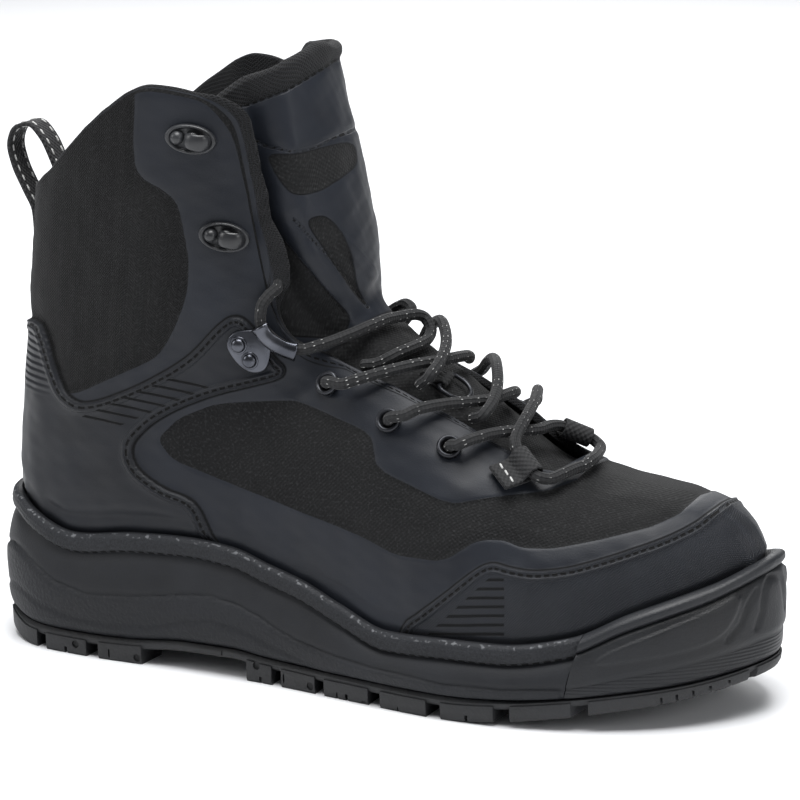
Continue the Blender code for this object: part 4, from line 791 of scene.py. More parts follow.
def soleFinish():
    finish, tree, sockets, place = newFinish("midsoleFoam", 0.60, specular_ior_level=0.30)[:4]
    band = ramp(tree, measured(tree, "band"), -0.1, 0.2)
    lower = ramp(tree, measured(tree, "lower"), -0.6, 0.6)
    pores = useGroup(tree, grain, Vector=place, Size=pitches["solePore"])
    coarse = useGroup(tree, grain, Vector=place, Size=pitches["soleGrain"])
    colour = mixed(tree, times(tree, pores["Tone"], 0.7), colours["sole"], colours["soleLight"])
    bandColour = mixed(tree, ramp(tree, pores["Height"], 0.55, 0.95), colours["sole"], colours["soleLight"])
    fleck = wire(tree, "ShaderNodeTexNoise", {"Vector": place, "Scale": 520.0, "Detail": 1.0})
    topEdge = nearTo(tree, measured(tree, "lipEdge"), 0.7, 0.9, 0.2)
    flecks = times(tree, ramp(tree, fleck.outputs[0], 0.58, 0.66), topEdge)
    colour = mixed(tree, band, colour, bandColour)
    sheen = times(tree, ramp(tree, measured(tree, "lipEdge"), 3.2, 0.6), band)
    colour = mixed(tree, times(tree, sheen, 0.8), colour, colours["soleLight"])
    colour = mixed(tree, times(tree, flecks, 0.75), colour, colours["bandFleck"])
    stitches = dashes(tree, measured(tree, "seamRun"), measured(tree, "seam"), 0.0, 0.6, 4.2, 0.62)
    colour = mixed(tree, stitches, colour, colours["stitchAndShade"])
    tree.links.new(colour, sockets["Base Color"])
    rough = ramp(tree, pores["Tone"], 0.0, 1.0, 0.54, 0.68)
    tree.links.new(ramp(tree, stitches, 0.0, 1.0, rough, 1.0), sockets["Roughness"])
    height = times(tree, pores["Height"], ramp(tree, band, 0.0, 1.0, 0.10, 0.30))
    height = timesPlus(tree, coarse["Height"], times(tree, lower, 0.45), height)
    height = timesPlus(tree, stitches, -0.4, height)
    setBump(tree, sockets, height, 0.001, 0.9)
    return finish


def bumperFinish():
    finish, tree, sockets, place = newFinish("bumperRubber", 0.52, specular_ior_level=0.34)[:4]
    pores = useGroup(tree, grain, Vector=place, Size=pitches["solePore"])
    lower = ramp(tree, measured(tree, "lower"), -0.2, 0.2)
    up = wire(tree, "ShaderNodeSeparateXYZ", {0: place}).outputs[2]
    ribs = timesPlus(tree, calc(tree, "SINE", times(tree, up, 2 * math.pi / 0.0013)), 0.5, 0.5)
    colour = mixed(tree, pores["Tone"], colours["bumper"], colours["bumperLight"])
    onLip = ramp(tree, measured(tree, "band"), 0.3, 1.2)
    tree.links.new(mixed(tree, times(tree, onLip, 0.7), colour, colours["soleLight"]), sockets["Base Color"])
    tree.links.new(ramp(tree, pores["Tone"], 0.0, 1.0, 0.44, 0.62), sockets["Roughness"])
    height = timesPlus(tree, times(tree, ribs, lower), 0.16, times(tree, pores["Height"], 0.12))
    setBump(tree, sockets, height, 0.001, 0.9)
    return finish


# Moulded rubber, plastic or metal: grain, worn blotches, and gloss that changes with them
def plainFinish(name, dark, light, size, bumpHeight, roughness, spread=0.12, **shader):
    finish, tree, sockets, place = newFinish(name, roughness, **shader)[:4]
    pores = useGroup(tree, grain, Vector=place, Size=size)
    tree.links.new(mixed(tree, pores["Tone"], colours[dark], colours[light]), sockets["Base Color"])
    tree.links.new(ramp(tree, pores["Tone"], 0.0, 1.0, roughness - spread / 2, roughness + spread / 2),
                   sockets["Roughness"])
    setBump(tree, sockets, pores["Height"], bumpHeight, 0.8)
    return finish


# Webbing and knit, on the piece's own UV map in metres
def clothFinish(name, dark, light, pitch, pattern, roughness=0.85):
    finish, tree, sockets, place, uv = newFinish(name, roughness, sheen_weight=0.05, sheen_roughness=0.4)
    threads = useGroup(tree, pattern, Vector=uv, Pitch=pitch)
    tone = timesPlus(tree, threads["Height"], 0.45, times(tree, threads["Tone"], 0.4), clamp=True)
    tree.links.new(mixed(tree, tone, colours[dark], colours[light]), sockets["Base Color"])
    tree.links.new(ramp(tree, threads["Tone"], 0.0, 1.0, roughness - 0.05, roughness + 0.06),
                   sockets["Roughness"])
    setBump(tree, sockets, threads["Height"], pitch * 0.35, 0.9)
    return finish


# Round braid: strands that slant both ways, low ribs along it and rows of pale flecks
def laceFinish():
    finish, tree, sockets, place, uv = newFinish("laceBraid", 0.82, sheen_weight=0.05, sheen_roughness=0.4)
    parts = wire(tree, "ShaderNodeSeparateXYZ", {0: uv}).outputs       # turns round, metres along
    around = times(tree, parts[0], 2 * math.pi * 8)
    along = times(tree, parts[1], 2 * math.pi / 0.0030)
    left = calc(tree, "SINE", plus(tree, around, along))
    right = calc(tree, "SINE", minus(tree, around, along))
    braid = timesPlus(tree, times(tree, left, right), 0.5, 0.5)
    rib = timesPlus(tree, calc(tree, "SINE", times(tree, parts[0], 2 * math.pi * 8)), 0.5, 0.5)
    row = calc(tree, "FRACT", calc(tree, "DIVIDE", parts[1], 0.0036))
    lane = calc(tree, "FRACT", times(tree, parts[0], 8.0))
    spot = times(tree, calc(tree, "LESS_THAN", row, 0.19), nearTo(tree, lane, 0.25, 0.14, 0.05))
    noise = wire(tree, "ShaderNodeTexNoise", {"Vector": place, "Scale": 160.0, "Detail": 2.0})
    spot = times(tree, spot, ramp(tree, noise.outputs[0], 0.48, 0.58))
    colour = mixed(tree, times(tree, braid, 0.6), colours["lace"], colours["laceLight"])
    tree.links.new(mixed(tree, spot, colour, colours["laceFleck"]), sockets["Base Color"])
    tree.links.new(ramp(tree, noise.outputs[0], 0.3, 0.7, 0.78, 0.90), sockets["Roughness"])
    height = timesPlus(tree, rib, 1.0, times(tree, braid, 0.6))
    setBump(tree, sockets, height, 0.00035, 0.9)
    return finish


finishes = {
    "upper": upperFinish(),
    "tongue": tongueFinish(),
    "sole": soleFinish(),
    "bumper": bumperFinish(),
    "tread": plainFinish("treadRubber", "tread", "treadLight", 0.0011, 0.00022, 0.62),
    "gunmetal": plainFinish("gunmetal", "gunmetal", "gunmetalWorn", 0.0010, 0.00003, 0.30, 0.16,
                            metallic=1.0),
    "eyelet": plainFinish("blackEyelet", "eyelet", "eyeletWorn", 0.0008, 0.00002, 0.34, 0.14, metallic=0.7),
    "hook": plainFinish("hookPlastic", "hook", "hookLight", 0.0007, 0.00004, 0.36, 0.14),
    "webbing": clothFinish("webbing", "webbing", "webbingLight", 0.0011, weave),
    "insole": clothFinish("insoleKnit", "knit", "knitLight", 0.0016, airMesh, 0.9),
    "lace": laceFinish(),
    "thread": plainFinish("paleThread", "paleThread", "paleThread", 0.0004, 0.00010, 0.7),
}
print("finishes made:", len(finishes))


def finishPiece(piece, finish, body, slot, *replaced):
    piece.data.materials.clear()
    piece.data.materials.append(finishes[finish])
    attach(piece, body)
    if replaced:
        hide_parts(*replaced)
    return piece


# the lace, its two ends and the loops that it runs through
laceLook = {
    "radius": 0.0022,
    "clearance": 0.00035,
    "hole": 0.0028,
    "webbing": 0.0010,          # thickness of a folded strap
    "loopWidth": 0.0115,
    "loopTail": 0.0085,
    "hidden": (0.003, 0.0062, 0.0088),      # how far from a loop's middle the lace shows again
    "loops": ((0.2268, -0.0225, -26), (0.2300, 0.0150, 34)),    # x, y, turn towards the toe
    "crossings": (      # place in plan, height over the upper
        (
            ((0.2165, -0.0060, 0.0080), (0.2140, 0.0060, 0.0078), (0.2100, 0.0180, 0.0074),
             (0.2065, 0.0270, 0.0070), (0.2045, 0.0315, 0.0068)),
            ((0.2215, 0.0010, 0.0042), (0.2164, -0.0116, 0.0038), (0.2114, -0.0212, 0.0048),
             (0.2072, -0.0282, 0.0068), (0.2045, -0.0312, 0.0068)),
        ),
        (
            ((0.2040, -0.0185, 0.0016), (0.2062, -0.0190, 0.0050), (0.2066, -0.0140, 0.0068),
             (0.2049, -0.0060, 0.0072), (0.1970, 0.0110, 0.0074), (0.1890, 0.0240, 0.0072),
             (0.1840, 0.0290, 0.0068)),
            ((0.2040, 0.0205, 0.0012), (0.2062, 0.0110, 0.0032), (0.2052, -0.0050, 0.0038),
             (0.2010, -0.0140, 0.0038), (0.1935, -0.0233, 0.0046), (0.1880, -0.0285, 0.0064),
             (0.1835, -0.0318, 0.0068)),
        ),
        (
            ((0.1835, -0.0205, 0.0016), (0.1853, -0.0200, 0.0050), (0.1856, -0.0130, 0.0070),
             (0.1835, -0.0040, 0.0074), (0.1740, 0.0120, 0.0076), (0.1640, 0.0235, 0.0074),
             (0.1580, 0.0280, 0.0068)),
            ((0.1850, 0.0205, 0.0012), (0.1875, 0.0110, 0.0030), (0.1855, -0.0040, 0.0038),
             (0.1812, -0.0130, 0.0038), (0.1750, -0.0205, 0.0044), (0.1674, -0.0262, 0.0054),
             (0.1610, -0.0290, 0.0066), (0.1582, -0.0296, 0.0068)),
        ),
    ),
    "endOuter": (
        (0.1607, -0.0215, 0.1212), (0.1641, -0.0200, 0.1222), (0.1679, -0.0175, 0.1236),
        (0.1711, -0.0120, 0.1249), (0.1736, -0.0050, 0.1260), (0.1744, 0.0040, 0.1268),
        (0.1739, 0.0105, 0.1286), (0.1730, 0.0135, 0.1306), (0.1708, 0.0145, 0.1336),
        (0.1688, 0.0125, 0.1353), (0.1669, 0.0095, 0.1361), (0.1641, 0.0030, 0.1361),
        (0.1611, -0.0040, 0.1354), (0.1591, -0.0130, 0.1349), (0.1558, -0.0190, 0.1335),
        (0.1512, -0.0225, 0.1315), (0.1465, -0.0265, 0.1297), (0.1426, -0.0305, 0.1286),
    ),
    "endInner": (
        (0.1540, 0.0215, 0.1262), (0.1568, 0.0245, 0.1300), (0.1588, 0.0265, 0.1332),
        (0.1578, 0.0278, 0.1356), (0.1542, 0.0300, 0.1352), (0.1502, 0.0315, 0.1332),
        (0.1465, 0.0320, 0.1308), (0.1430, 0.0318, 0.1290),
    ),
    "hookRun": (
        (0.1393, -0.0330, 0.1282), (0.1362, -0.0343, 0.1290), (0.1327, -0.0356, 0.1308),
        (0.1290, -0.0366, 0.1337), (0.1267, -0.0372, 0.1374), (0.1258, -0.0372, 0.1408),
        (0.1265, -0.0368, 0.1442), (0.1274, -0.0348, 0.1473), (0.1300, -0.0324, 0.1500),
        (0.1310, -0.0302, 0.1527), (0.1305, -0.0288, 0.1556), (0.1296, -0.0282, 0.1581),
        (0.1280, -0.0280, 0.1606),
    ),
    "eyelets": ((0.2011, 0.0963), (0.1775, 0.1044), (0.1508, 0.1151)),      # x, z, by crossing
    "lead": ((0.0034, 0.0042), (0.0014, 0.0030), (0.0004, 0.0012), (0.0000, -0.0004)),      # back, height
    "bight": ((0.2420, -0.0120, 0.0030), (0.2445, -0.0030, 0.0028), (0.2430, 0.0070, 0.0032)),
}
gap = last["gap"]
softNodes = ("outsole", "midsole", "toe_bumper", "insole", "upper", "tongue", "heel_counter", "toe_cap",
             "eyestay")


# Search tree over some CAD nodes, in the boot's own corner's frame
def treeOf(names):
    points, faces = [], []
    for name in names:
        mesh = nodes[name].data
        co = np.empty(len(mesh.vertices) * 3)
        mesh.vertices.foreach_get("co", co)
        first = len(points)
        points += [Vector(p) for p in co.reshape(-1, 3) - bootShift]
        faces += [[first + i for i in face.vertices] for face in mesh.polygons]
    return BVHTree.FromPolygons(points, faces)


def frameAt(point, normal, along):
    z = Vector(normal).normalized()
    x = Vector(along)
    x = (x - z * x.dot(z)).normalized()
    return Matrix.Translation(Vector(point)) @ Matrix((x, z.cross(x), z)).transposed().to_4x4()


def restOn(tree, frame, reachX, reachY):
    axis = frame.to_3x3() @ Vector((0, 0, 1))
    highest = -1.0
    for ring in (0.0, 0.5, 0.8, 1.0):
        for turn in np.radians(np.arange(0, 360, 15)):
            local = Vector((ring * reachX * math.cos(turn), ring * reachY * math.sin(turn), 0.02))
            hit = tree.ray_cast(frame @ local, -axis, 0.04)
            if hit[0] is not None:
                highest = max(highest, 0.02 - hit[3])
    return Matrix.Translation(axis * (highest + laceLook["clearance"])) @ frame


def pushClear(points, tree, radius):
    points = [Vector(p) for p in points]
    for _ in range(4):
        for i, point in enumerate(points):
            near, normal, _, distance = tree.find_nearest(point)
            wanted = radius + laceLook["clearance"]
            if (point - near).dot(normal) < 0:
                points[i] = near + normal * wanted
            elif distance < wanted:
                points[i] = near + (point - near).normalized() * wanted
    return np.array([p[:] for p in points])


def pathLength(points):
    return float(np.sum(np.linalg.norm(np.diff(np.asarray(points, float), axis=0), axis=1)))


def overSurface(route):
    out = []
    for x, y, lift in route:
        point, normal = onTop(x, y)
        out.append(point + normal * lift)
    return np.array(out)


softTree = treeOf(softNodes)
laceTree = treeOf([name for name in nodes if not name.startswith("lace_")])


def loopFrame(x, y, turn):
    point, normal = onTop(x, y)
    inward = Matrix.Rotation(math.radians(turn), 3, "Z") @ Vector((0, -1 if y > 0 else 1, 0))
    look = laceLook
    return restOn(softTree, frameAt(point, normal, inward), look["radius"] + look["loopTail"] + 0.002,
                  look["loopWidth"] * 0.6)


def holePoints(frame, way):
    middle = frame @ Vector((0, 0, laceLook["hole"] + laceLook["webbing"]))
    ahead = frame.to_3x3() @ Vector((0, 1, 0))
    ahead = ahead if ahead.x > 0 else -ahead
    return [tuple(middle + ahead * way * end) for end in (gap, *laceLook["hidden"])]


# The same way as straight stretches between points, with its corners rounded
def softened(points, count):
    p = np.asarray(points, float)
    fine = curveThrough(p, count * 4)
    for _ in range(6):
        fine[1:-1] = (fine[:-2] + 2 * fine[1:-1] + fine[2:]) / 4
    return curveThrough(fine, count)


# Round bar along points, with turns round it and metres along it as its UV map
def sweep(name, path, radius, segments=20, flat=1.0, ends=True, side=(0.3, 0.1, 1.0)):
    path = np.asarray(path, float)
    along = units(np.gradient(path, axis=0))
    side = np.cross(along[0], side)
    rings, uv, run = [], [], runAlong(path)
    turns = np.linspace(0, 2 * math.pi, segments + 1)
    radii = np.broadcast_to(radius, len(path)).astype(float).copy()
    for i in range(len(path)):
        side = side - along[i] * np.dot(side, along[i])
        side /= np.linalg.norm(side)
        other = np.cross(along[i], side)
        rings.append(path[i] + radii[i] * (np.cos(turns)[:, None] * side + flat * np.sin(turns)[:, None]
                                           * other))
        uv.append(np.column_stack([turns / (2 * math.pi), np.full(segments + 1, run[i])]))
    rings, uv = np.array(rings), np.array(uv)
    if ends:        # rounded ends
        for end, place, way in ((0, 0, -1), (-1, len(rings), 1)):
            tip = path[end] + along[end] * way * radii[end] * 0.55
            mid = path[end] + (rings[end if end == 0 else -1]
                               - path[end]) * 0.72 + along[end] * way * radii[end] * 0.4
            close = np.repeat(tip[None], segments + 1, 0)
            extra = [mid, close] if way > 0 else [close, mid]
            marks = [uv[end]] * 2
            rings = np.concatenate([rings, extra]) if way > 0 else np.concatenate([extra, rings])
            uv = np.concatenate([uv, marks]) if way > 0 else np.concatenate([marks, uv])
    count = segments + 1
    faces = gridFaces(len(rings), count, closed=False)
    piece = makePiece(name, rings.reshape(-1, 3) + bootShift, faces)
    setUv(piece, uv.reshape(-1, 2))
    return faceOut(piece, 1e-6)


def join(pieces, name):
    choose(*pieces)
    bpy.ops.object.join()
    pieces[0].name = name
    return pieces[0]


def laceRun(route, clearance=0.0006, start=(), end=(), spacing=2.6, least=4):
    points = np.array([*start, *route, *end])
    count = max(least, round(pathLength(points) / (laceLook["radius"] * spacing)))
    return pushClear(curveThrough(points, count), laceTree, laceLook["radius"] + clearance)


def eyeletFrame(place, side):
    return restOn(softTree, frameAt(*onSide(*place, side), (1, 0, 0)), 0.0047, 0.0047)


# The same run, led on from its last point into an eyelet
def intoEyelet(path, frame, look):
    away = frame.inverted() @ Vector(path[-1])
    away = Vector((away.x, away.y, 0)).normalized()
    lead = [(frame @ (away * back + Vector((0, 0, height))))[:] for back, height in look["lead"]]
    return np.vstack([path, lead])


def makeLace(look):
    frames = [loopFrame(*spot) for spot in look["loops"]]
    for i, (upperRun, lowerRun) in enumerate(look["crossings"]):
        strands = []
        for route, frame, side in ((upperRun, frames[0], 1), (lowerRun, frames[1], -1)):
            start = holePoints(frame, -1) if i == 0 else ()
            path = intoEyelet(laceRun(overSurface(route), start=start),
                              eyeletFrame(look["eyelets"][i], side), look)
            strands.append(sweep("strand", softened(path, len(path) * 5), look["radius"]))
        crossing = join(strands, f"laceCrossing{i + 1}")
        finishPiece(crossing, "lace", "boot", "lace_cord", f"lace_crossing_{i + 1}")
    firstHole, lastHole = [holePoints(frame, 1) for frame in frames]
    path = laceRun(overSurface(look["bight"]), start=firstHole, end=lastHole[::-1])
    bight = sweep("laceBight", softened(path, len(path) * 5), look["radius"])
    finishPiece(bight, "lace", "boot", "lace_cord", "lace_bight")
    for label, start, side in (("Outer", look["endOuter"], 1), ("Inner", look["endInner"], -1)):
        route = [*start, *[(x, y * side, z) for x, y, z in look["hookRun"]]]
        path = laceRun(route, 0.0004, spacing=2.3)
        line = softened(path, len(path) * 5)
        piece = sweep("laceEnd" + label, line, look["radius"])
        finishPiece(piece, "lace", "boot", "lace_cord", "lace_end_" + label.lower())
        line = line + bootShift
        print("cord", label, round(pathLength(line), 4))
    return frames


loopFrames = makeLace(laceLook)
print("lace made")


# the upper: one shell, with its film, padding, counter and cap raised on it
millimetre = 2.642      # picture pixels in one at the boot's own distance
upperLook = {
    "columns": 560,
    "rows": 148,
    "rimRows": 6,
    "innerRows": 16,
    "wall": 0.0026,
    "filmRise": 0.55,       # millimetres, as the other rises are
    "counterRise": 0.95,
    "capRise": 0.75,
    "beadRise": 0.65,
    "padding": 1.3,
    "binding": 1.3,
    "frontBinding": 3.0,
    "frontRoll": 4.4,
    "rearSwell": 0.5,
    "windowSwell": 0.45,
    "waves": ((0.22, 0.026, 4), (0.10, 0.009, 9)),      # height, size in metres, seed
}
panelLines = {      # corners in picture pixels
    "rear": (
        (135, 97), (134, 163), (143, 179), (163, 189), (179, 204), (188, 255), (189, 263), (187, 296),
        (176, 326), (163, 350), (153, 360), (107, 380), (79, 393), (68, 393), (59, 372), (51, 339),
        (41, 315), (-60, 315), (-60, 40), (135, 60),
    ),
    "counter": (
        (41, 315), (51, 339), (59, 372), (68, 393), (82, 403), (102, 400), (138, 386), (173, 367),
        (194, 352), (217, 326), (230, 316), (242, 316), (253, 326), (277, 360), (286, 367), (283, 378),
        (255, 385), (219, 393), (179, 408), (153, 423), (135, 441), (133, 454), (140, 469), (163, 487),
        (191, 498), (201, 509), (214, 537), (219, 544), (219, 640), (-60, 640), (-60, 315),
    ),
    "window": (
        (158, 439), (179, 418), (217, 403), (293, 400), (311, 406), (372, 434), (377, 469), (450, 505),
        (488, 498), (551, 490), (580, 480), (591, 466), (600, 380), (720, 380), (720, 470), (694, 498),
        (680, 515), (648, 529), (597, 541), (551, 549), (522, 548), (505, 541), (488, 540), (473, 543),
        (450, 558), (436, 561), (396, 555), (357, 534), (237, 486), (173, 460),
    ),
    "cap": (
        (393, 631), (436, 601), (476, 569), (493, 562), (511, 568), (534, 572), (568, 569), (608, 558),
        (660, 541), (694, 525), (714, 509), (723, 498), (709, 490), (709, 440), (900, 440), (900, 760),
        (393, 760),
    ),
}
slotRows = {      # first slot's start, step to the next, way along one
    "slot": ((170, 378), (-14.0, 6.2), (39.6, 8.6)),
    "slit": ((505, 580), (0.0, 8.9), (-9.8, 0.0)),
}


# Millimetres inside a rounded outline, below 0 outside it
def panel(points, outline):
    return areaDistance(points, outline) / millimetre


# Corners cut twice, so that a drawn outline turns smoothly
def softLine(corners, cut=0.22):
    p = np.asarray(corners, float)
    for _ in range(2):
        after = np.roll(p, -1, 0)
        p = np.stack([p * (1 - cut) + after * cut, p * cut + after * (1 - cut)], 1).reshape(-1, 2)
    return p


# Soft waves over a surface, from -1 to 1, the same in each run
def unevenness(points, size, seed, rounds=3):
    spread = np.random.default_rng(seed)
    total = np.zeros(len(points))
    for k in range(rounds * 4):
        way = spread.normal(size=3)
        way *= 2 * math.pi / (size * (0.6 + 0.5 * (k % rounds))) / np.linalg.norm(way)
        total += np.sin(points @ way + spread.uniform(0, 2 * math.pi))
    return total / (rounds * 4) ** 0.5


def waves(points, kinds):
    return sum(height * unevenness(points, size, seed) for height, size, seed in kinds)


def makeUpper(look):
    skin = bootSurface(look["columns"], look["rows"])
    rows, columns = skin.shape[:2]
    flat = skin.reshape(-1, 3)
    normal = formNormals(flat)
    seen = onPicture(np.where(flat[:, 1:2] > 0, flat * (1, -1, 1), flat))
    area = {key: panel(seen, softLine(line, 0.14 if key == "window" else 0.22)) for key,
            line in panelLines.items()}
    up = np.linalg.norm(np.diff(skin, axis=0), axis=2)[::-1].cumsum(axis=0)[::-1]
    toRim = np.concatenate([up, np.zeros((1, columns))]).ravel() * 1000
    atFront = step(flat[:, 0], 0.104, 0.116)
    binding = (look["binding"] + look["frontBinding"] * atFront) * step(flat[:, 2], 0.128, 0.150) - toRim
    area["window"] = np.maximum(area["window"], binding)
    trimEdge, trimRun = np.full(len(flat), -50.0), np.zeros(len(flat))
    for key in ("counter", "cap"):
        run = measureLine(seen, softLine(panelLines[key]), True)[1]
        closer = np.abs(area[key]) < np.abs(trimEdge)
        trimEdge = np.where(closer, area[key], trimEdge)
        trimRun = np.where(closer, run / millimetre, trimRun)
    places = {}
    for key, (corner, onward, way) in slotRows.items():
        solved = (seen - corner) @ np.linalg.inv(np.array([onward, way]))
        places[key + "Number"], places[key + "Along"] = solved.T
    above = (flat[:, 2] - soleHeight(lip, flat[:, 0])) * 1000
    free = step(above, -0.5, 3.0)
    ribZone = step(flat[:, 0], 0.034, 0.026) * step(flat[:, 2], 0.098, 0.104) * step(flat[:, 2], 0.126, 0.120)
    film = 1 - np.maximum(step(area["window"], -0.25, 0.35), step(area["rear"], -0.25, 0.35))
    rise = look["filmRise"] * film
    rise += sum(look[key + "Rise"] * step(area[key], -0.2, 0.9) for key in ("counter", "cap"))
    rise += look["beadRise"] * (hump(trimEdge, 1.0, 0.75) + hump(trimEdge, 3.1, 0.8))
    rise += look["padding"] * step(area["rear"], 0.5, 11) * step(area["rear"], 34, 8) * 0.6
    rise += look["rearSwell"] * step(area["rear"], 0.4, 4.0)
    rise += look["windowSwell"] * step(area["window"], 0.5, 6.0)
    rise += waves(flat, look["waves"])
    outerSkin = flat + normal * (rise * free / 1000)[:, None]
    outer = outerSkin.reshape(skin.shape)
    normalGrid = normal.reshape(skin.shape)
    inner = skin - normalGrid * look["wall"]
    edge = outer[-1]
    rimUp = np.gradient(outer, axis=0)[-1]
    rimUp = units(rimUp)
    innerEdge = inner[-1]
    middle, half = (edge + innerEdge) / 2, (edge - innerEdge) / 2
    radius = np.linalg.norm(half, axis=1)[:, None]
    ahead = (step(edge[:, 0], 0.102, 0.114) * step(edge[:, 2], 0.130, 0.150))[:, None]
    reach = 1 + (look["frontRoll"] + 2.2 * hump(edge[:, 2], 0.159, 0.012))[:, None] * ahead
    rimUp = rimUp * (1 - 0.65 * ahead) + np.array([0.9, 0, 0]) * ahead
    rimUp = units(rimUp)
    rim = [
        middle + half * math.cos(t) + rimUp * radius * math.sin(t) * reach
        for t in np.linspace(0, math.pi, look["rimRows"] + 2)[1:-1]
    ]
    picks = np.round(np.linspace(rows - 1, 0, look["innerRows"])).astype(int)
    grid = np.concatenate([outer, rim, inner[picks]])
    total = len(grid)
    faces = gridFaces(total, columns)
    top = (total - 1) * columns
    faces += [[top + c, top + (c + 1) % columns, (c + 1) % columns, c] for c in range(columns)]
    shell = makePiece("upperShell", grid.reshape(-1, 3) + bootShift, faces)
    extra = (total - rows) * columns

    def tail(values, value):
        setValues(shell, values, np.concatenate([value[0], np.full(extra, value[1])]))

    for key in ("window", "rear", "counter", "cap"):
        tail(key, (area[key], -50.0))
    for key, value in places.items():
        tail(key, (value, -50.0))
    tail("trimEdge", (trimEdge, -50.0))
    tail("trimRun", (trimRun, 0.0))
    tail("ribs", (ribZone, 0.0))
    rimRun = runAlong(edge) * 1000
    tail("rimRun", (np.tile(rimRun, rows), 0.0))
    tail("rimEdge", (toRim + 50 * step(flat[:, 0], 0.127, 0.121), -5.0))
    insideStart = np.full(len(flat), -50.0).reshape(rows, columns)
    insideStart[-1] = -0.9
    insideStart[-2] = -2.0
    setValues(shell, "inside",
              np.concatenate([insideStart.ravel(), np.full(columns, 0.3), np.full(extra - columns, 3.0)]))
    base = np.linalg.norm(np.diff(np.vstack([skin[0], skin[0][:1]]), axis=0), axis=1)
    u = np.broadcast_to(np.concatenate([[0], np.cumsum(base)[:-1]]), (total, columns))
    v = gridRun(grid, 0)
    uv = np.stack([u, v], -1).reshape(-1, 2)
    across = (area["rear"] < -3) & (area["cap"] < -2) & (binding < -1)
    uv[: len(flat)][across] = np.column_stack([flat[:, 0], flat[:, 2] - np.abs(flat[:, 1])])[across]
    onCap = (area["cap"] >= -2).reshape(rows, columns)
    foot = np.tile(skin[0], (rows, 1, 1))
    inward = np.linalg.norm(skin[..., :2] - foot[..., :2], axis=2)
    uv[: len(flat)][onCap.ravel()] = np.column_stack([u[:rows].ravel(),
                                                      (skin[..., 2] + inward).ravel()])[onCap.ravel()]
    setUv(shell, uv)
    finishPiece(shell, "upper", "boot", "upper_fabric", "upper", "heel_counter", "toe_cap", "eyestay")
    return skin


upperSkin = makeUpper(upperLook)
print("upper made")


# the tongue: a closed pad with panels drawn on it
tongueLook = {
    "across": 110,
    "along": 190,
    "thickness": 0.0055,
    "fall": 0.27,
    "clearance": 0.0018,
    "sections": (       # axis x, axis z, middle x, middle z, half angle, lift, lean, crown
        (0.2220, 0.036, 0.2500, 0.086, 26, -0.0046, 0.00, 0.28),
        (0.2070, 0.044, 0.2330, 0.090, 30, -0.0044, 0.00, 0.28),
        (0.1860, 0.054, 0.2130, 0.098, 33, -0.0036, 0.00, 0.28),
        (0.1660, 0.064, 0.1940, 0.108, 37, -0.0030, 0.00, 0.28),
        (0.1440, 0.076, 0.1740, 0.118, 41, -0.0026, 0.00, 0.28),
        (0.1240, 0.092, 0.1580, 0.128, 44, -0.0010, 0.00, 0.28),
        (0.1080, 0.112, 0.1500, 0.140, 48, 0.0025, 0.00, 0.30),
        (0.0980, 0.134, 0.1480, 0.153, 52, 0.0062, 0.00, 0.38),
        (0.0920, 0.154, 0.1450, 0.166, 55, 0.0085, 0.00, 0.42),
        (0.0880, 0.174, 0.1410, 0.181, 57, 0.0092, 0.00, 0.42),
        (0.0855, 0.191, 0.1360, 0.196, 58, 0.0082, 0.04, 0.42),
        (0.0830, 0.206, 0.1320, 0.209, 58, 0.0062, 0.10, 0.42),
        (0.0815, 0.218, 0.1290, 0.220, 58, 0.0050, 0.17, 0.42),
        (0.0800, 0.227, 0.1260, 0.2285, 57, 0.0040, 0.24, 0.42),
    ),
    "crest": (       # share across, rise of the top edge there
        (-1.0, 0.0), (-0.8, 0.0047), (-0.6, 0.0085), (-0.4, 0.0120), (-0.1, 0.0122), (0.0, 0.0113),
        (0.2, 0.0066),
        (0.4, 0.0035), (0.6, 0.0012), (0.8, -0.0018), (1.0, -0.0080),
    ),
    "farCorner": 0.006,
    "strapRise": 0.6,
    "waves": ((0.22, 0.022, 21), (0.10, 0.008, 22)),
    "clothBelow": 5.4,      # section up to which the tongue is bare cloth
    "airy": ((150, 130), (222.7, 111.8), (249.5, 104), (284, 91.7), (308.8, 77.4), (331.7, 63), (380, 40),
             (380, -20), (150, -20)),
    "cloth": (
        ((266.7, 154), (275, 172), (284, 184.5), (291.5, 193), (303, 195), (322, 190), (340, 178),
         (356.6, 165),
         (352, 141), (318.3, 149), (295.4, 155)),
        ((305, 221), (322, 215), (333.6, 222.8), (343, 238), (352.8, 265), (356.6, 288), (366, 305),
         (360, 300),
         (345, 280), (326, 250)),
        ((200, 190), (252, 190), (262, 215), (272.4, 228.5), (287.7, 247.6), (314.5, 278), (333.6, 299),
         (352, 318), (340, 340), (230, 330)),
    ),
    "seams": (
        ((205, 117), (222.7, 111.8), (249.5, 104), (284, 91.7), (308.8, 77.4), (331.7, 63), (345, 55)),
        ((255, 140), (264.8, 146), (295.4, 152), (318.3, 146), (350.8, 131), (365, 122)),
        ((293.5, 219), (308.8, 236), (328, 255), (349, 282), (368, 307)),
        ((262, 216), (272.4, 228.5), (287.7, 247.6), (314.5, 278), (333.6, 299), (345, 312.7)),
    ),
    "strap": ((337, 226), (352, 240), (381, 274), (372, 284), (352, 262), (336, 244)),
}


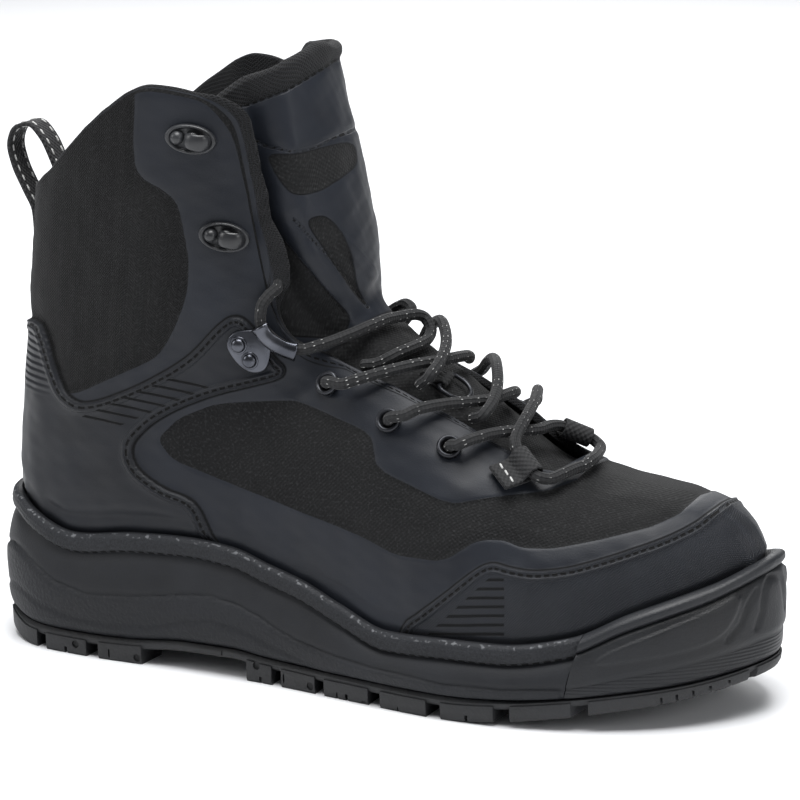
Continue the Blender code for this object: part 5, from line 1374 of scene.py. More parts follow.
def tongueRows(look, across, along):
    table = np.array(look["sections"])
    at = np.linspace(0, len(table) - 1, along)
    rows = np.column_stack([smooth(at, np.arange(len(table)), table[:, k]) for k in range(table.shape[1])])
    grid = []
    share = np.linspace(-1, 1, across + 1)
    crest = smooth(share, *np.array(look["crest"]).T)
    for place, (ax, az, mx, mz, angle, lift, lean, crown) in zip(at, rows):
        axis, way = np.array([ax, 0.0, az]), np.array([mx - ax, 0.0, mz - az])
        way /= np.linalg.norm(way)
        turns = np.radians(share * angle)
        rays = way * np.cos(turns)[:, None] + np.array([0, 1.0, 0]) * np.sin(turns)[:, None]
        starts = np.tile(axis, (across + 1, 1))
        skin = castOut(starts, starts + rays * 0.06)
        t = np.clip((np.abs(share) - crown) / look["fall"], 0, 1)
        rise = 1 - t * t * (3 - 2 * t)
        sunk = -(upperLook["wall"] + look["clearance"])
        row = skin + formNormals(skin) * (sunk + (lift - sunk) * rise)[:, None]
        row[:, 2] += lean * row[:, 1] + step(place, 9.0, 13.0) * crest
        row[:, 0] += step(place, 9.0, 13.0) * look["farCorner"] * step(share, 0.4, 1.0)
        grid.append(row)
    return np.array(grid)


def makeTongue(look):
    grid = tongueRows(look, look["across"], look["along"])
    rows, columns = grid.shape[:2]
    normal = gridNormals(grid, closed=False)
    flat = grid.reshape(-1, 3)
    seen = onPicture(flat)
    airy = panel(seen, look["airy"])
    cloth = np.max([panel(seen, softLine(line)) for line in look["cloth"]], axis=0)
    place = np.repeat(np.linspace(0, len(look["sections"]) - 1, rows), columns)
    cloth = np.maximum(cloth, (look["clothBelow"] - place) * 8)
    strap = panel(seen, softLine(look["strap"]))
    seam, seamRun = np.full(len(flat), 50.0), np.zeros(len(flat))
    for line in look["seams"]:
        away, run = measureLine(seen, line)
        closer = away / millimetre < seam
        seam = np.where(closer, away / millimetre, seam)
        seamRun = np.where(closer, run / millimetre, seamRun)
    u = np.linspace(-1, 1, columns)[None, :]
    v = np.linspace(0, 1, rows)[:, None]
    sideEnd = np.sqrt(np.clip((1 - np.abs(u)) / 0.10, 0, 1))
    topEnd = np.sqrt(np.clip((1 - v) / 0.020, 0, 1))
    rounding = np.broadcast_to(sideEnd * topEnd, (rows, columns))
    rise = 0.35 - 0.55 * hump(seam, 0, 1.4) - 0.5 * step(cloth, -0.3, 0.5) + 0.5 * step(airy, -0.2, 2.5)
    rise += look["strapRise"] * step(strap, 0.0, 0.8) + waves(flat, look["waves"])
    shown = step(np.abs(u), 0.72, 0.55) * np.ones((rows, 1))
    half = look["thickness"] / 2
    centre = grid - normal * half
    swelling = rise.reshape(rows, columns) * shown / 1000
    outer = centre + normal * (half * rounding)[..., None] + normal * swelling[..., None]
    inner = centre - normal * (half * rounding)[..., None]
    faces = padFaces(rows, columns, (False, True, True, False))
    pad = makePiece("tonguePad", np.vstack([outer.reshape(-1, 3), inner.reshape(-1, 3)]) + bootShift, faces)
    for name, value, inside in (("cloth", cloth, -50.0), ("airy", airy, 5.0), ("seam", seam, 50.0),
                                ("seamRun", seamRun, 0.0)):
        setValues(pad, name, np.concatenate([value, np.full(rows * columns, inside)]))
    across = gridRun(grid, 1)
    along = gridRun(grid, 0)
    uv = np.stack([across - across[:, columns // 2][:, None], along], -1)
    setUv(pad, np.concatenate([uv, uv]))
    faceOut(pad)
    finishPiece(pad, "tongue", "boot", "tongue_fabric", "tongue")
    return grid


tongueSkin = makeTongue(tongueLook)
print("tongue made")


# the sole unit: midsole and toe bumper are one profile each, cut along the slanting joint
soleLook = {
    "columns": 720,
    "jointTop": 0.268,
    "jointFoot": 0.256,
    "midsoleBand": 0.0075,
    "midsole": (        # share of the wall's height, inset in metres
        (0.00, 0.0034), (0.03, 0.0024), (0.10, 0.0013), (0.28, 0.0004), (0.46, 0.0000), (0.62, 0.0003),
        (0.78, 0.0012), (0.90, 0.0024), (0.97, 0.0036), (1.00, 0.0040),
    ),
    "midsoleLip": (     # share of the band's height, inset
        (0.00, 0.0040), (0.05, 0.0030), (0.14, 0.0023), (0.45, 0.0021), (0.72, 0.0024), (0.90, 0.0030),
        (1.00, 0.0040),
    ),
    "bumperBand": 0.0060,
    "bumper": (
        (0.00, 0.0030), (0.03, 0.0018), (0.08, 0.0011), (0.24, 0.0009), (0.27, 0.0010), (0.30, 0.0004),
        (0.36, 0.0000), (0.60, 0.0000), (0.80, 0.0003), (0.90, 0.0008), (0.96, 0.0014), (1.00, 0.0024),
    ),
    "bumperLip": ((0.00, 0.0024), (0.07, 0.0015), (0.25, 0.0007), (0.50, 0.0008), (0.78, 0.0019),
                  (1.00, 0.0042)),
    "wave": (
        (-40, 520), (15, 542.6), (33, 563), (53.6, 581), (84, 593.6), (143, 596.6), (178.6, 595), (209, 596),
        (237, 605), (257.7, 616.5), (275.5, 629), (298.5, 642), (331.6, 655), (370, 667.6), (398, 674),
        (440, 684), (500, 690), (560, 690),
    ),
    "raisedPlate": (      # corners in picture pixels
        (588, 667), (604, 653), (660, 631), (708, 611), (742, 592), (738, 612), (725, 634), (700, 648),
        (640, 661),
    ),
    "chevrons": (
        ((757, 590), (748, 606), (741, 625), (728, 640)), ((771, 572), (765, 590), (762, 612), (757, 628)),
    ),
    "lowerWave": (
        (-40, 560), (15, 582), (40, 604), (70, 617), (105, 624), (150, 627), (185, 622), (215, 622),
        (245, 632), (275, 648), (310, 664), (350, 678), (398, 691), (450, 700), (550, 704),
    ),
}


# Inset and height of each level, from the joint up over the lip and down inside it
def soleRows(look, wall, lipRows, band, steps=(30, 14)):
    outline = soleOutline(look["columns"])
    rings = []

    def level(distance, height):
        line = inset(outline, distance)
        rings.append(np.column_stack([line, height(line[:, 0])]))

    for share in np.linspace(0, 1, steps[0]):
        distance = smooth(share, *np.array(wall).T)
        level(distance, lambda x: soleHeight(joint, x) + (soleHeight(lip, x) - band - soleHeight(joint, x))
              * share)
    for share in np.linspace(0, 1, steps[1])[1:]:
        level(smooth(share, *np.array(lipRows).T), lambda x: soleHeight(lip, x) - band * (1 - share))
    inner = last["soleInset"] + last["lipWall"]
    for share in (0.35, 0.75):
        level(lipRows[-1][1] * (1 - share) + inner * share, lambda x: soleHeight(lip, x) + 0.0001)
    for drop in (0.0006, 0.006):
        level(inner, lambda x: soleHeight(lip, x) - drop)
    level(inner, lambda x: soleHeight(floor, x))
    return np.array(rings)


def ladder(first, columns, down):
    faces = []
    for i in range(columns // 2):
        quad = [first + i, first + i + 1, first + (columns - i - 1) % columns,
                first + (columns - i) % columns]
        quad = list(dict.fromkeys(quad))
        faces.append(quad[::-1] if down else quad)
    return faces


# Keeps what is behind the slanting joint, or ahead of it, and closes the cut
def cutByJoint(piece, look, ahead):
    shape = bmesh.new()
    shape.from_mesh(piece.data)
    slope = (look["jointTop"] - look["jointFoot"]) / 0.05
    place = Vector((look["jointFoot"] + (gap if ahead else 0), 0, 0.012)) + Vector(bootShift)
    way = Vector((1, 0, -slope)).normalized()
    bmesh.ops.bisect_plane(
        shape, geom=shape.verts[:] + shape.edges[:] + shape.faces[:], plane_co=place, plane_no=way,
        clear_outer=not ahead, clear_inner=ahead,
    )
    rim = [edge for edge in shape.edges if edge.is_boundary]
    bmesh.ops.edgeloop_fill(shape, edges=rim)
    bmesh.ops.recalc_face_normals(shape, faces=shape.faces)
    shape.to_mesh(piece.data)
    shape.free()
    smoothByAngle(piece, 42)


def makeSoleCup(look):
    for name, node, finish, slot in (
        ("midsoleCup", "midsole", "sole", "midsole_rubber"),
        ("bumperCup", "toe_bumper", "bumper", "bumper_rubber"),
    ):
        key = "midsole" if node == "midsole" else "bumper"
        band = look[key + "Band"]
        rings = soleRows(look, look[key], look[key + "Lip"], band, (34, 14) if key == "midsole" else (44, 14))
        levels, columns = rings.shape[:2]
        flat = rings.reshape(-1, 3)
        seen = onPicture(np.where(flat[:, 1:2] > 0, flat * (1, -1, 1), flat))
        outline = soleOutline(columns)
        along = np.roll(outline, -1, 0) - np.roll(outline, 1, 0)
        along = units(along)
        outward = np.tile(np.column_stack([along[:, 1], -along[:, 0], np.zeros(columns)]), (levels, 1))
        height, x = flat[:, 2], flat[:, 0]
        foot, top = soleHeight(joint, x), soleHeight(lip, x)
        share = (height - foot) / np.maximum(top - band - foot, 1e-4)
        wallZone = step(share, 0.0, 0.06) * step(share, 1.0, 0.93)
        run = np.tile(runAlong(outline), levels) * 1000
        rise = np.zeros(len(flat))
        lower = np.full(len(flat), -50.0)
        if key == "midsole":
            wave = measureLine(seen, look["wave"])[0] / millimetre
            second = measureLine(seen, look["lowerWave"])[0] / millimetre
            area = list(look["wave"]) + [(560, 900), (-40, 900)]
            under = areaDistance(seen, area) / millimetre
            deeper = areaDistance(seen, list(look["lowerWave"]) + [(560, 900), (-40, 900)]) / millimetre
            lower = np.where(share < 1.0, under, -50.0)
            rise += wallZone * (0.55 * step(under, -0.3, 1.2) - 0.75 * hump(wave, 0, 0.9))
            rise += wallZone * (0.35 * step(deeper, -0.3, 1.2) - 0.45 * hump(second, 0, 0.8))
            bandShare = (height - (top - band)) / band
            ends = step(bandShare, 0.05, 0.2) * step(bandShare, 0.98, 0.85)
            rise += 0.10 * np.sin(bandShare * 2 * math.pi * 4) * ends
        else:
            lower = np.minimum((0.25 - share) * 30, (share - 0.03) * 30)
            plate = areaDistance(seen, softLine(look["raisedPlate"])) / millimetre
            rise += 0.85 * step(plate, -0.5, 0.9)
            for line in look["chevrons"]:
                rise -= 0.9 * hump(measureLine(seen, line)[0] / millimetre, 0, 0.9)
        rise += wallZone * 0.10 * unevenness(flat, 0.030, 31)
        flat = flat + outward * (rise / 1000)[:, None]
        faces = gridFaces(levels, columns) + ladder(0, columns, True)
        faces += ladder((levels - 1) * columns, columns, False)
        piece = makePiece(name, flat + bootShift, faces)
        bandPlace = (height - (top - band)) * 1000
        outerRows = np.repeat(np.arange(levels) < levels - 5, columns)
        setValues(piece, "band", np.where(outerRows, bandPlace, -5.0))
        setValues(piece, "lower", lower)
        setValues(piece, "lipEdge", np.where(outerRows, (top - height) * 1000, 50.0))
        setValues(piece, "seam", np.where(outerRows, np.abs(bandPlace - 0.55), 50.0))
        setValues(piece, "seamRun", run)
        cutByJoint(piece, look, key == "bumper")
        finishPiece(piece, finish, "boot", slot, node)


makeSoleCup(soleLook)
print("midsole and bumper made")


# the tread: lugs in plan, cut to the sole's outline, with studs and zigzag cuts in turn
treadLook = {
    "plateRise": 0.0015,
    "edgeLugs": (       # start, end, slant, reach inwards
        (0.022, 0.085, 0.000, 0.38), (0.100, 0.160, 0.000, 0.40), (0.175, 0.235, 0.004, 0.36),
        (0.390, 0.425, -0.008, 0.26), (0.440, 0.488, -0.010, 0.34), (0.500, 0.562, -0.008, 0.38),
        (0.577, 0.640, -0.004, 0.42),
        (0.655, 0.722, 0.004, 0.42), (0.737, 0.805, 0.014, 0.40),
    ),
    "innerLugs": (      # middle x, middle y, length, width
        (0.130, 0.00, 0.060, 0.30), (0.205, 0.00, 0.050, 0.34), (0.475, 0.16, 0.048, 0.34),
        (0.535, -0.20, 0.050, 0.40), (0.600, 0.18, 0.052, 0.42), (0.660, -0.22, 0.054, 0.42),
        (0.725, 0.24, 0.052, 0.40), (0.775, -0.18, 0.050, 0.34),
    ),
    "toePlates": (
        ((0.830, -0.42), (0.845, -0.12), (1.030, -0.16), (1.000, -0.90), (0.835, -1.10)),
        ((0.845, -0.06), (0.845, 0.34), (0.960, 0.80), (1.050, 0.80), (1.050, -0.10)),
        ((0.838, 0.42), (0.830, 1.20), (0.940, 1.20), (0.950, 0.88)),
    ),
    "sideStuds": ((74.7, 644), (137, 658), (194.6, 655), (253.8, 666), (309, 687), (365, 706)),
    "sideSlots": ((46.7, 637), (105.4, 653.5), (165.8, 661), (224, 656), (282, 678), (336, 697),
                  (396.7, 712)),
    "sipeDepth": 0.0026,
    "sipeWidth": 0.0009,
    "studRadius": 0.0030,
    "bevel": 0.00055,
}


# Upright prisms on flat outlines, as one piece
def prisms(name, loops, low, high):
    points, faces = [], []
    for loop in loops:
        loop = np.asarray(loop, float)
        turned = np.sum(loop[:, 0] * np.roll(loop[:, 1], -1) - np.roll(loop[:, 0], -1) * loop[:, 1]) < 0
        loop = loop[::-1] if turned else loop
        first, count = len(points), len(loop)
        points += [(x, y, low) for x, y in loop] + [(x, y, high) for x, y in loop]
        faces.append([first + i for i in range(count)][::-1])
        faces.append([first + count + i for i in range(count)])
        for i in range(count):
            j = (i + 1) % count
            faces.append([first + i, first + j, first + count + j, first + count + i])
    return makePiece(name, np.array(points) + bootShift, faces, smoothed=False)


def solidLoft(name, rings):
    rings = np.array(rings)
    levels, columns = rings.shape[:2]
    faces = gridFaces(levels, columns) + ladder(0, columns, True)
    faces += ladder((levels - 1) * columns, columns, False)
    return makePiece(name, rings.reshape(-1, 3) + bootShift, faces, smoothed=False)


def applied(piece):
    choose(piece)
    for modifier in list(piece.modifiers):
        bpy.ops.object.modifier_apply(modifier=modifier.name)


def cutWith(piece, tool, operation):
    modifier = piece.modifiers.new("cut", "BOOLEAN")
    modifier.operation, modifier.object, modifier.solver = operation, tool, "EXACT"
    applied(piece)
    bpy.data.objects.remove(tool)


def sideWidth(share, side):
    table = np.array(last["outline"])
    return np.interp(share, table[:, 0], table[:, 1 if side < 0 else 2]) * last["ball"] / 2


# Outline of one wavy cut between two places in plan
def zigzag(x0, y0, x1, y1, look, waves=4):
    a, b = np.array([x0, y0]), np.array([x1, y1])
    way = b - a
    cross = np.array([-way[1], way[0]]) / np.hypot(*way)
    share = np.linspace(0, 1, waves * 2 + 1)
    swing = np.where(np.arange(len(share)) % 2 == 0, -1, 1) * 0.0011
    middle = a + way * share[:, None] + cross * swing[:, None]
    return np.vstack([middle + cross * look["sipeWidth"] / 2, (middle - cross * look["sipeWidth"] / 2)[::-1]])


def circle(x, y, radius, count=20):
    turns = np.linspace(0, 2 * math.pi, count + 1)[:-1]
    return np.column_stack([x + radius * np.cos(turns), y + radius * np.sin(turns)])


def makeTread(look):
    outline = soleOutline(240)
    length, half = last["length"], last["ball"] / 2

    def ring(distance, height):
        line = inset(outline, distance)
        return np.column_stack([line, height(line[:, 0])])

    body = solidLoft("treadOutsole", [
        ring(0.0022, lambda x: soleHeight(face, x)), ring(0.0015, lambda x: soleHeight(face, x) + 0.0012),
        ring(0.0012, lambda x: soleHeight(root, x) + look["plateRise"]),
    ])
    loops, cuts, studs = [], [], []
    for side in (-1, 1):
        for i, (start, end, slant, reach) in enumerate(look["edgeLugs"]):
            edge = side * sideWidth((start + end) / 2, side)
            inner, outer = edge - side * reach * half, side * 1.3 * half
            a, b, lean, corner = start * length, end * length, slant * length, 0.004
            loops.append([
                (a, outer), (a + lean, inner + side * corner), (a + lean + corner, inner),
                (b + lean - corner, inner), (b + lean, inner + side * corner), (b, outer),
            ])
            middle = (a + b) / 2 + lean * 0.5
            if (i + (side > 0)) % 2:
                studs.append(circle(middle + lean * 0.2, inner + side * 0.0075, look["studRadius"]))
                cuts.append([(middle - 0.0006, inner + side * 0.0125),
                             (middle + 0.0006, inner + side * 0.0125),
                             (middle + 0.0006, outer), (middle - 0.0006, outer)])
            else:
                for shift in (-0.0032, 0.0032):
                    cuts.append(zigzag(middle + shift + lean * 0.4, inner + side * 0.002, middle + shift,
                                       edge - side * 0.006, look))
    for i, (x, y, long, wide) in enumerate(look["innerLugs"]):
        x, y, long, wide = x * length, y * half, long * length / 2, wide * half / 2
        loops.append([
            (x - long, y - wide * 0.45), (x, y - wide), (x + long, y - wide * 0.45),
            (x + long, y + wide * 0.45), (x, y + wide), (x - long, y + wide * 0.45),
        ])
        if i % 2:
            studs.append(circle(x, y, look["studRadius"]))
        else:
            for shift in (-0.0030, 0.0030):
                cuts.append(zigzag(x + shift, y - wide * 0.62, x + shift, y + wide * 0.62, look, 3))
    loops += [[(x * length, y * half) for x, y in plate] for plate in look["toePlates"]]
    for k in range(5):      # fine steps across the toe's plates
        x = (0.905 + 0.014 * k) * length
        cuts.append([(x, -0.70 * half), (x + 0.0008, -0.70 * half), (x + 0.0008 + 0.004, 0.55 * half),
                     (x + 0.004, 0.55 * half)])
    cutWith(body, prisms("lugColumns", loops, -0.03, 0.05), "INTERSECT")
    plate = solidLoft("treadPlate", [
        ring(0.0030, lambda x: soleHeight(root, x)), ring(0.0020, lambda x: soleHeight(root, x) + 0.0010),
        ring(0.0018, lambda x: soleHeight(root, x) + 0.0024),
        ring(0.0030, lambda x: soleHeight(joint, x) - gap),
    ])
    cutWith(body, plate, "UNION")
    faceLevel = [(loop, look["sipeDepth"]) for loop in cuts] + [(loop, 0.0018) for loop in studs]
    points, faces = [], []
    for loop, depth in faceLevel:
        loop = np.asarray(loop, float)
        middle = loop[:, 0].mean()
        low, high = -0.01, float(soleHeight(face, middle)) + depth
        tool = prisms("tool", [loop], low, high)
        first = len(points)
        points += [v.co[:] for v in tool.data.vertices]
        faces += [[first + i for i in poly.vertices] for poly in tool.data.polygons]
        bpy.data.objects.remove(tool)
    wall = ring(0.0013, lambda x: soleHeight(root, x))
    toe = int(np.argmax(wall[:, 0]))
    levels = np.linspace(0, 1, 24)
    side = wall[:toe]
    feet, tops = soleHeight(face, side[:, 0]), soleHeight(joint, side[:, 0])
    many = np.concatenate([np.column_stack([side[:, :2], feet + (tops - feet) * t]) for t in levels])
    marks = onPicture(many)
    marksOnWall = [(s, (0.0016, 0.0016)) for s in look["sideStuds"]]
    marksOnWall += [(s, (0.0004, 0.0020)) for s in look["sideSlots"]]
    for spot, (wideX, tallZ) in marksOnWall:
        near = many[np.argmin(np.hypot(*(marks - spot).T))]
        for mirrored in (1, -1):
            reachY = near[1] if mirrored == 1 else sideWidth(near[0] / length, 1) - 0.0013
            turns = np.linspace(0, 2 * math.pi, 17)[:-1]
            first = len(points)
            for depth in (reachY - np.sign(reachY) * 0.0012, reachY + np.sign(reachY) * 0.004):
                points += [tuple(np.array((near[0] + wideX * math.cos(t), depth,
                                           near[2] + tallZ * math.sin(t))) + bootShift) for t in turns]
            ends = [[first + i for i in range(16)], [first + 16 + i for i in range(16)][::-1]]
            faces += ends + [[first + (i + 1) % 16, first + i, first + 16 + i, first + 16 + (i + 1) % 16]
                             for i in range(16)]
    tools = makePiece("cutTools", points, faces, smoothed=False)
    faceOut(tools)
    cutWith(body, tools, "DIFFERENCE")
    shape = bmesh.new()
    shape.from_mesh(body.data)
    bmesh.ops.remove_doubles(shape, verts=shape.verts, dist=0.00002)
    bmesh.ops.dissolve_limit(shape, angle_limit=math.radians(1.5), verts=shape.verts, edges=shape.edges)
    shape.to_mesh(body.data)
    shape.free()
    bevel = body.modifiers.new("edges", "BEVEL")
    bevel.width, bevel.segments, bevel.limit_method = look["bevel"], 2, "ANGLE"
    bevel.angle_limit = math.radians(38)
    bevel.use_clamp_overlap = True
    applied(body)
    smoothByAngle(body, 35)
    finishPiece(body, "tread", "boot", "tread_rubber", "outsole")
    print("tread faces:", len(body.data.polygons))


makeTread(treadLook)


# hardware: eyelets, hooks, the ring on the tongue, and the sewn webbing
hardwareLook = {
    "speedHooks": ((0.1001, 0.2067), (0.1112, 0.1698)),
    "lockHook": (0.1195, 0.1262),
    "eyeletProfile": (      # radius, height
        (0.0047, -0.0006), (0.0047, 0.0006), (0.0045, 0.0011), (0.0040, 0.0014), (0.0035, 0.0013),
        (0.0030, 0.0008), (0.0028, 0.0001), (0.0028, -0.0006),
    ),
    "hookSize": (0.0195, 0.0112),
    "hookProfile": (        # share of the oval, height
        (1.00, -0.0006), (1.00, 0.0006), (0.975, 0.0012), (0.93, 0.0015), (0.86, 0.0015), (0.80, 0.0011),
        (0.76, 0.0004), (0.70, 0.0002), (0.40, 0.0002),
    ),
    "plateOutline": (
        (-0.0086, 0.0020), (-0.0066, 0.0056), (0.0000, 0.0092), (0.0058, 0.0088), (0.0082, 0.0040),
        (0.0088, -0.0030), (0.0050, -0.0062), (-0.0010, -0.0058), (-0.0076, -0.0016),
    ),
    "plate": 0.0012,
    "rivets": ((-0.0040, 0.0012), (0.0022, -0.0024)),
    "rivetRadius": 0.0028,
    "hornInner": 0.0030,
    "hornWall": 0.0010,
}


# Moves a piece made round the world's middle to its place on the boot, in its mesh
def placed(piece, frame):
    piece.data.transform(Matrix.Translation(Vector(bootShift)) @ frame)
    piece.data.update()
    return piece


# A ring turned from a profile of radius and height; its last level closes in the middle
def turned(name, profile, frame, segments=40, stretch=(1, 1)):
    turns = np.linspace(0, 2 * math.pi, segments + 1)[:-1]
    points = [(r * math.cos(t) * stretch[0], r * math.sin(t) * stretch[1], z) for r,
              z in profile for t in turns]
    return placed(makePiece(name, points, tubeFaces(len(profile), segments)), frame)


def dome(name, radius, flat, frame, offset, rows=8):
    profile = [(radius * math.cos(t), radius * flat * math.sin(t))
               for t in np.linspace(-0.3, math.pi / 2 - 0.12, rows)]
    return turned(name, profile, frame @ Matrix.Translation(offset), 24)


# Plate with rounded edges: rows are inset and height of each level of its outline
def slab(name, outline, rows, frame):
    outline = np.asarray(outline, float)
    along = units(np.roll(outline, -1, 0) - np.roll(outline, 1, 0))
    inward = np.column_stack([-along[:, 1], along[:, 0]])
    points = [(*p, z) for shift, z in rows for p in outline + inward * shift]
    count = len(outline)
    faces = tubeFaces(len(rows), count)
    return placed(makePiece(name, points, faces), frame)


# Flat strap that follows a line in x and z, as wide as given along y, with soft edges and cloth UV
def strip(name, line, width, wall, frame, rounding=0.0003):
    line = np.asarray(line, float)
    along = units(np.gradient(line, axis=0))
    out = np.column_stack([-along[:, 1], along[:, 0]])
    run = runAlong(line)
    section = []        # across, out
    half, thick = width / 2, wall / 2
    for y in np.linspace(-half + rounding, half - rounding, 9):
        section.append((y, thick))
    section += [(half - rounding * 0.3, thick * 0.8), (half, 0.0), (half - rounding * 0.3, -thick * 0.8)]
    for y in np.linspace(half - rounding, -half + rounding, 9):
        section.append((y, -thick))
    section += [(-half + rounding * 0.3, -thick * 0.8), (-half, 0.0), (-half + rounding * 0.3, thick * 0.8)]
    points, uv = [], []
    for i in range(len(line)):
        for y, s in section:
            points.append((line[i][0] + out[i][0] * s, y, line[i][1] + out[i][1] * s))
            uv.append((y, run[i]))
    count = len(section)
    faces = tubeFaces(len(line), count)
    piece = makePiece(name, points, faces)
    setUv(piece, uv)
    faceOut(piece)
    return placed(piece, frame)


# Pale stitches: short rounded bars; each spot is a middle and a way
def stitchRow(name, spots, length, frame, radius=0.00042):
    points, faces = [], []
    turns = np.linspace(0, 2 * math.pi, 7)[:-1]
    for middle, way in spots:
        middle, way = np.array(middle, float), np.array(way, float)
        way /= np.linalg.norm(way)
        side = np.cross(way, (0.13, 0.31, 0.94))
        side /= np.linalg.norm(side)
        other = np.cross(way, side)
        first = len(points)
        for share, size in ((-0.5, 0.45), (-0.34, 1.0), (0.34, 1.0), (0.5, 0.45)):
            for t in turns:
                points.append(tuple(middle + way * length * share + radius * size
                                    * (side * math.cos(t) + other * math.sin(t))))
        for r in range(3):
            faces += [[first + r * 6 + c, first + r * 6 + (c + 1) % 6, first + (r + 1) * 6 + (c + 1) % 6,
                       first + (r + 1) * 6 + c] for c in range(6)]
        faces += [[first + c for c in range(6)][::-1], [first + 18 + c for c in range(6)]]
    piece = makePiece(name, points, faces)
    faceOut(piece)
    return placed(piece, frame)


sides = (("lateral", -1), ("medial", 1))


def makeEyelets(look):
    for label, side in sides:
        for i, place in enumerate(laceLook["eyelets"][::-1]):
            frame = eyeletFrame(place, side)
            piece = turned(f"eyelet{label.title()}{i + 1}", look["eyeletProfile"], frame, 48)
            finishPiece(piece, "eyelet", "boot", "eyelet_metal", f"eyelet_{label}_{i + 1}")


def makeSpeedHook(label, frame, node, look):
    long, wide = look["hookSize"]
    base = turned(label, [(wide / 2 * r, z) for r, z in look["hookProfile"]], frame, 56, (long / wide, 1))
    ball = dome("ball", 0.0026, 0.95, frame, (-0.0050, 0, 0.0012))
    route = softened([(frame @ Vector((x, 0, z)))[:] for x, z in (
        (-0.0012, 0.0006), (-0.0013, 0.0022), (-0.0004, 0.0037), (0.0012, 0.0046), (0.0032, 0.0048),
        (0.0052, 0.0043),
        (0.0066, 0.0031), (0.0071, 0.0016))], 28)
    up = np.array((frame.to_3x3() @ Vector((1, 0, 0.2)))[:])
    widths = np.interp(np.linspace(0, 1, 28), (0, 0.35, 0.75, 1), (0.0024, 0.0030, 0.0033, 0.0026))
    stem = sweep("stem", route, widths, 20, 0.34, side=up)
    shoulder = dome("shoulder", 0.0030, 0.55, frame, (0.0006, 0, 0.0004))
    hook = join([base, ball, stem, shoulder], label)
    finishPiece(hook, "hook", "boot", "hook_plastic", node)


def makeLockHook(label, side, node, look):
    frame = restOn(softTree, frameAt(*onSide(*look["lockHook"], side), (1, 0, -0.42)), 0.0090, 0.0074)
    flip = -side
    outline = closedSpline([(x, y * flip) for x, y in look["plateOutline"]], 7)
    outline = outline if flip < 0 else outline[::-1]
    thick = look["plate"]
    plate = slab(label, outline, ((0.0004, -0.0004), (0, 0), (0, thick * 0.62), (0.0002, thick * 0.88),
                                  (0.0005, thick)), frame)
    parts = [plate]
    for x, y in look["rivets"]:
        rim = turned("rim", ((0.0034, 0.0010), (0.0034, 0.0014), (0.0031, 0.0016), (0.0027, 0.0015)),
                     frame @ Matrix.Translation((x, y * flip, 0)), 28)
        parts += [rim, dome("rivet", look["rivetRadius"], 0.62, frame, (x, y * flip, thick + 0.0004))]
    route = np.array(laceLook["hookRun"][:5]) * (1, -side, 1)
    middle = curveThrough(route, 22)
    away = np.array((frame.to_3x3() @ Vector((0, 0, 1)))[:])
    outer, inner, count = [], [], 18
    for i, point in enumerate(middle):
        along = middle[min(i + 1, 21)] - middle[max(i - 1, 0)]
        along /= np.linalg.norm(along)
        out = away - along * np.dot(away, along)
        out /= np.linalg.norm(out)
        across = np.cross(along, out)
        across = -across if across[0] > 0 else across
        share = i / 21
        flare = 1 + 0.16 * (hump(share, 0, 0.10) + hump(share, 1, 0.10))
        for turn in np.radians(np.linspace(-50, 96 + 34 * share, count)):
            way = out * math.cos(turn) + across * math.sin(turn)
            outer.append(point + (look["hornInner"] * flare + look["hornWall"]) * way)
            inner.append(point + look["hornInner"] * flare * way)
    faces = padFaces(22, count)
    horn = makePiece("horn", np.array(outer + inner) + bootShift, faces)
    faceOut(horn)
    hook = join(parts + [horn], label)
    finishPiece(hook, "gunmetal", "boot", "hook_metal", node)


def makeHardware(look):
    makeEyelets(look)
    for label, side in sides:
        for i, (x, z) in enumerate(look["speedHooks"]):
            frame = restOn(softTree, frameAt(*onSide(x, z, side), (1, 0, -0.14)), 0.00975, 0.0056)
            makeSpeedHook(f"speedHook{label.title()}{i + 1}", frame, f"speed_hook_{label}_{i + 1}", look)
        makeLockHook("lockHook" + label.title(), side, "lock_hook_" + label, look)


makeHardware(hardwareLook)
print("hooks and eyelets made")


webbingLook = {
    "wall": 0.0010,
    "tabPlace": (0.1892, -0.0090),
    "tabWidth": 0.0085,
    "tabTail": 0.0065,
    "ringWire": 0.0009,
    "ringWidth": 0.0132,
    "ringDepth": 0.0112,
    "pullWidth": 0.0120,
    "pullWall": 0.0016,
    "pullPath": (
        (0.0123, 0.1500), (0.0124, 0.1580), (0.0118, 0.1660), (0.0077, 0.1745), (0.0030, 0.1840),
        (0.0012, 0.1915), (0.0034, 0.1980), (0.0096, 0.2003), (0.0155, 0.1955), (0.0196, 0.1880),
        (0.0222, 0.1815), (0.0232, 0.1750), (0.0230, 0.1680),
    ),
}


# Strap folded round a bar and sewn flat behind it, with pale stitches across its tail
def foldedStrap(name, node, frame, width, hole, tail, wall, stitchLength):
    middle = hole + wall / 2
    height = hole + wall
    turns = np.radians(np.linspace(-100, 140, 26))
    line = [(middle * math.cos(t), height + middle * math.sin(t)) for t in turns]
    line += [(-middle * 1.55, 1.95 * wall), (-middle * 2.1, 1.6 * wall), (-hole - wall - tail, 1.35 * wall)]
    line = curveThrough(line, 46)
    top = strip(name, line, width, wall * 0.92, frame)
    below = strip("under", [(-middle * 0.2, wall * 0.5), (-middle * 1.2, wall * 0.45),
                            (-hole - wall - tail, wall * 0.45)],
                  width, wall * 0.85, frame)
    strap = join([top, below], name)
    finishPiece(strap, "webbing", "boot", "webbing", node)
    spots = []
    for x in (-hole - wall - tail * 0.55,):
        for y in np.arange(-width / 2 + 0.0014, width / 2 - 0.0010, stitchLength * 1.35):
            spots.append(((x, y + stitchLength * 0.4, wall * 1.92), (0.15, 1, 0)))
    row = stitchRow(name + "Stitches", spots, stitchLength, frame)
    finishPiece(row, "thread", "boot", "webbing")


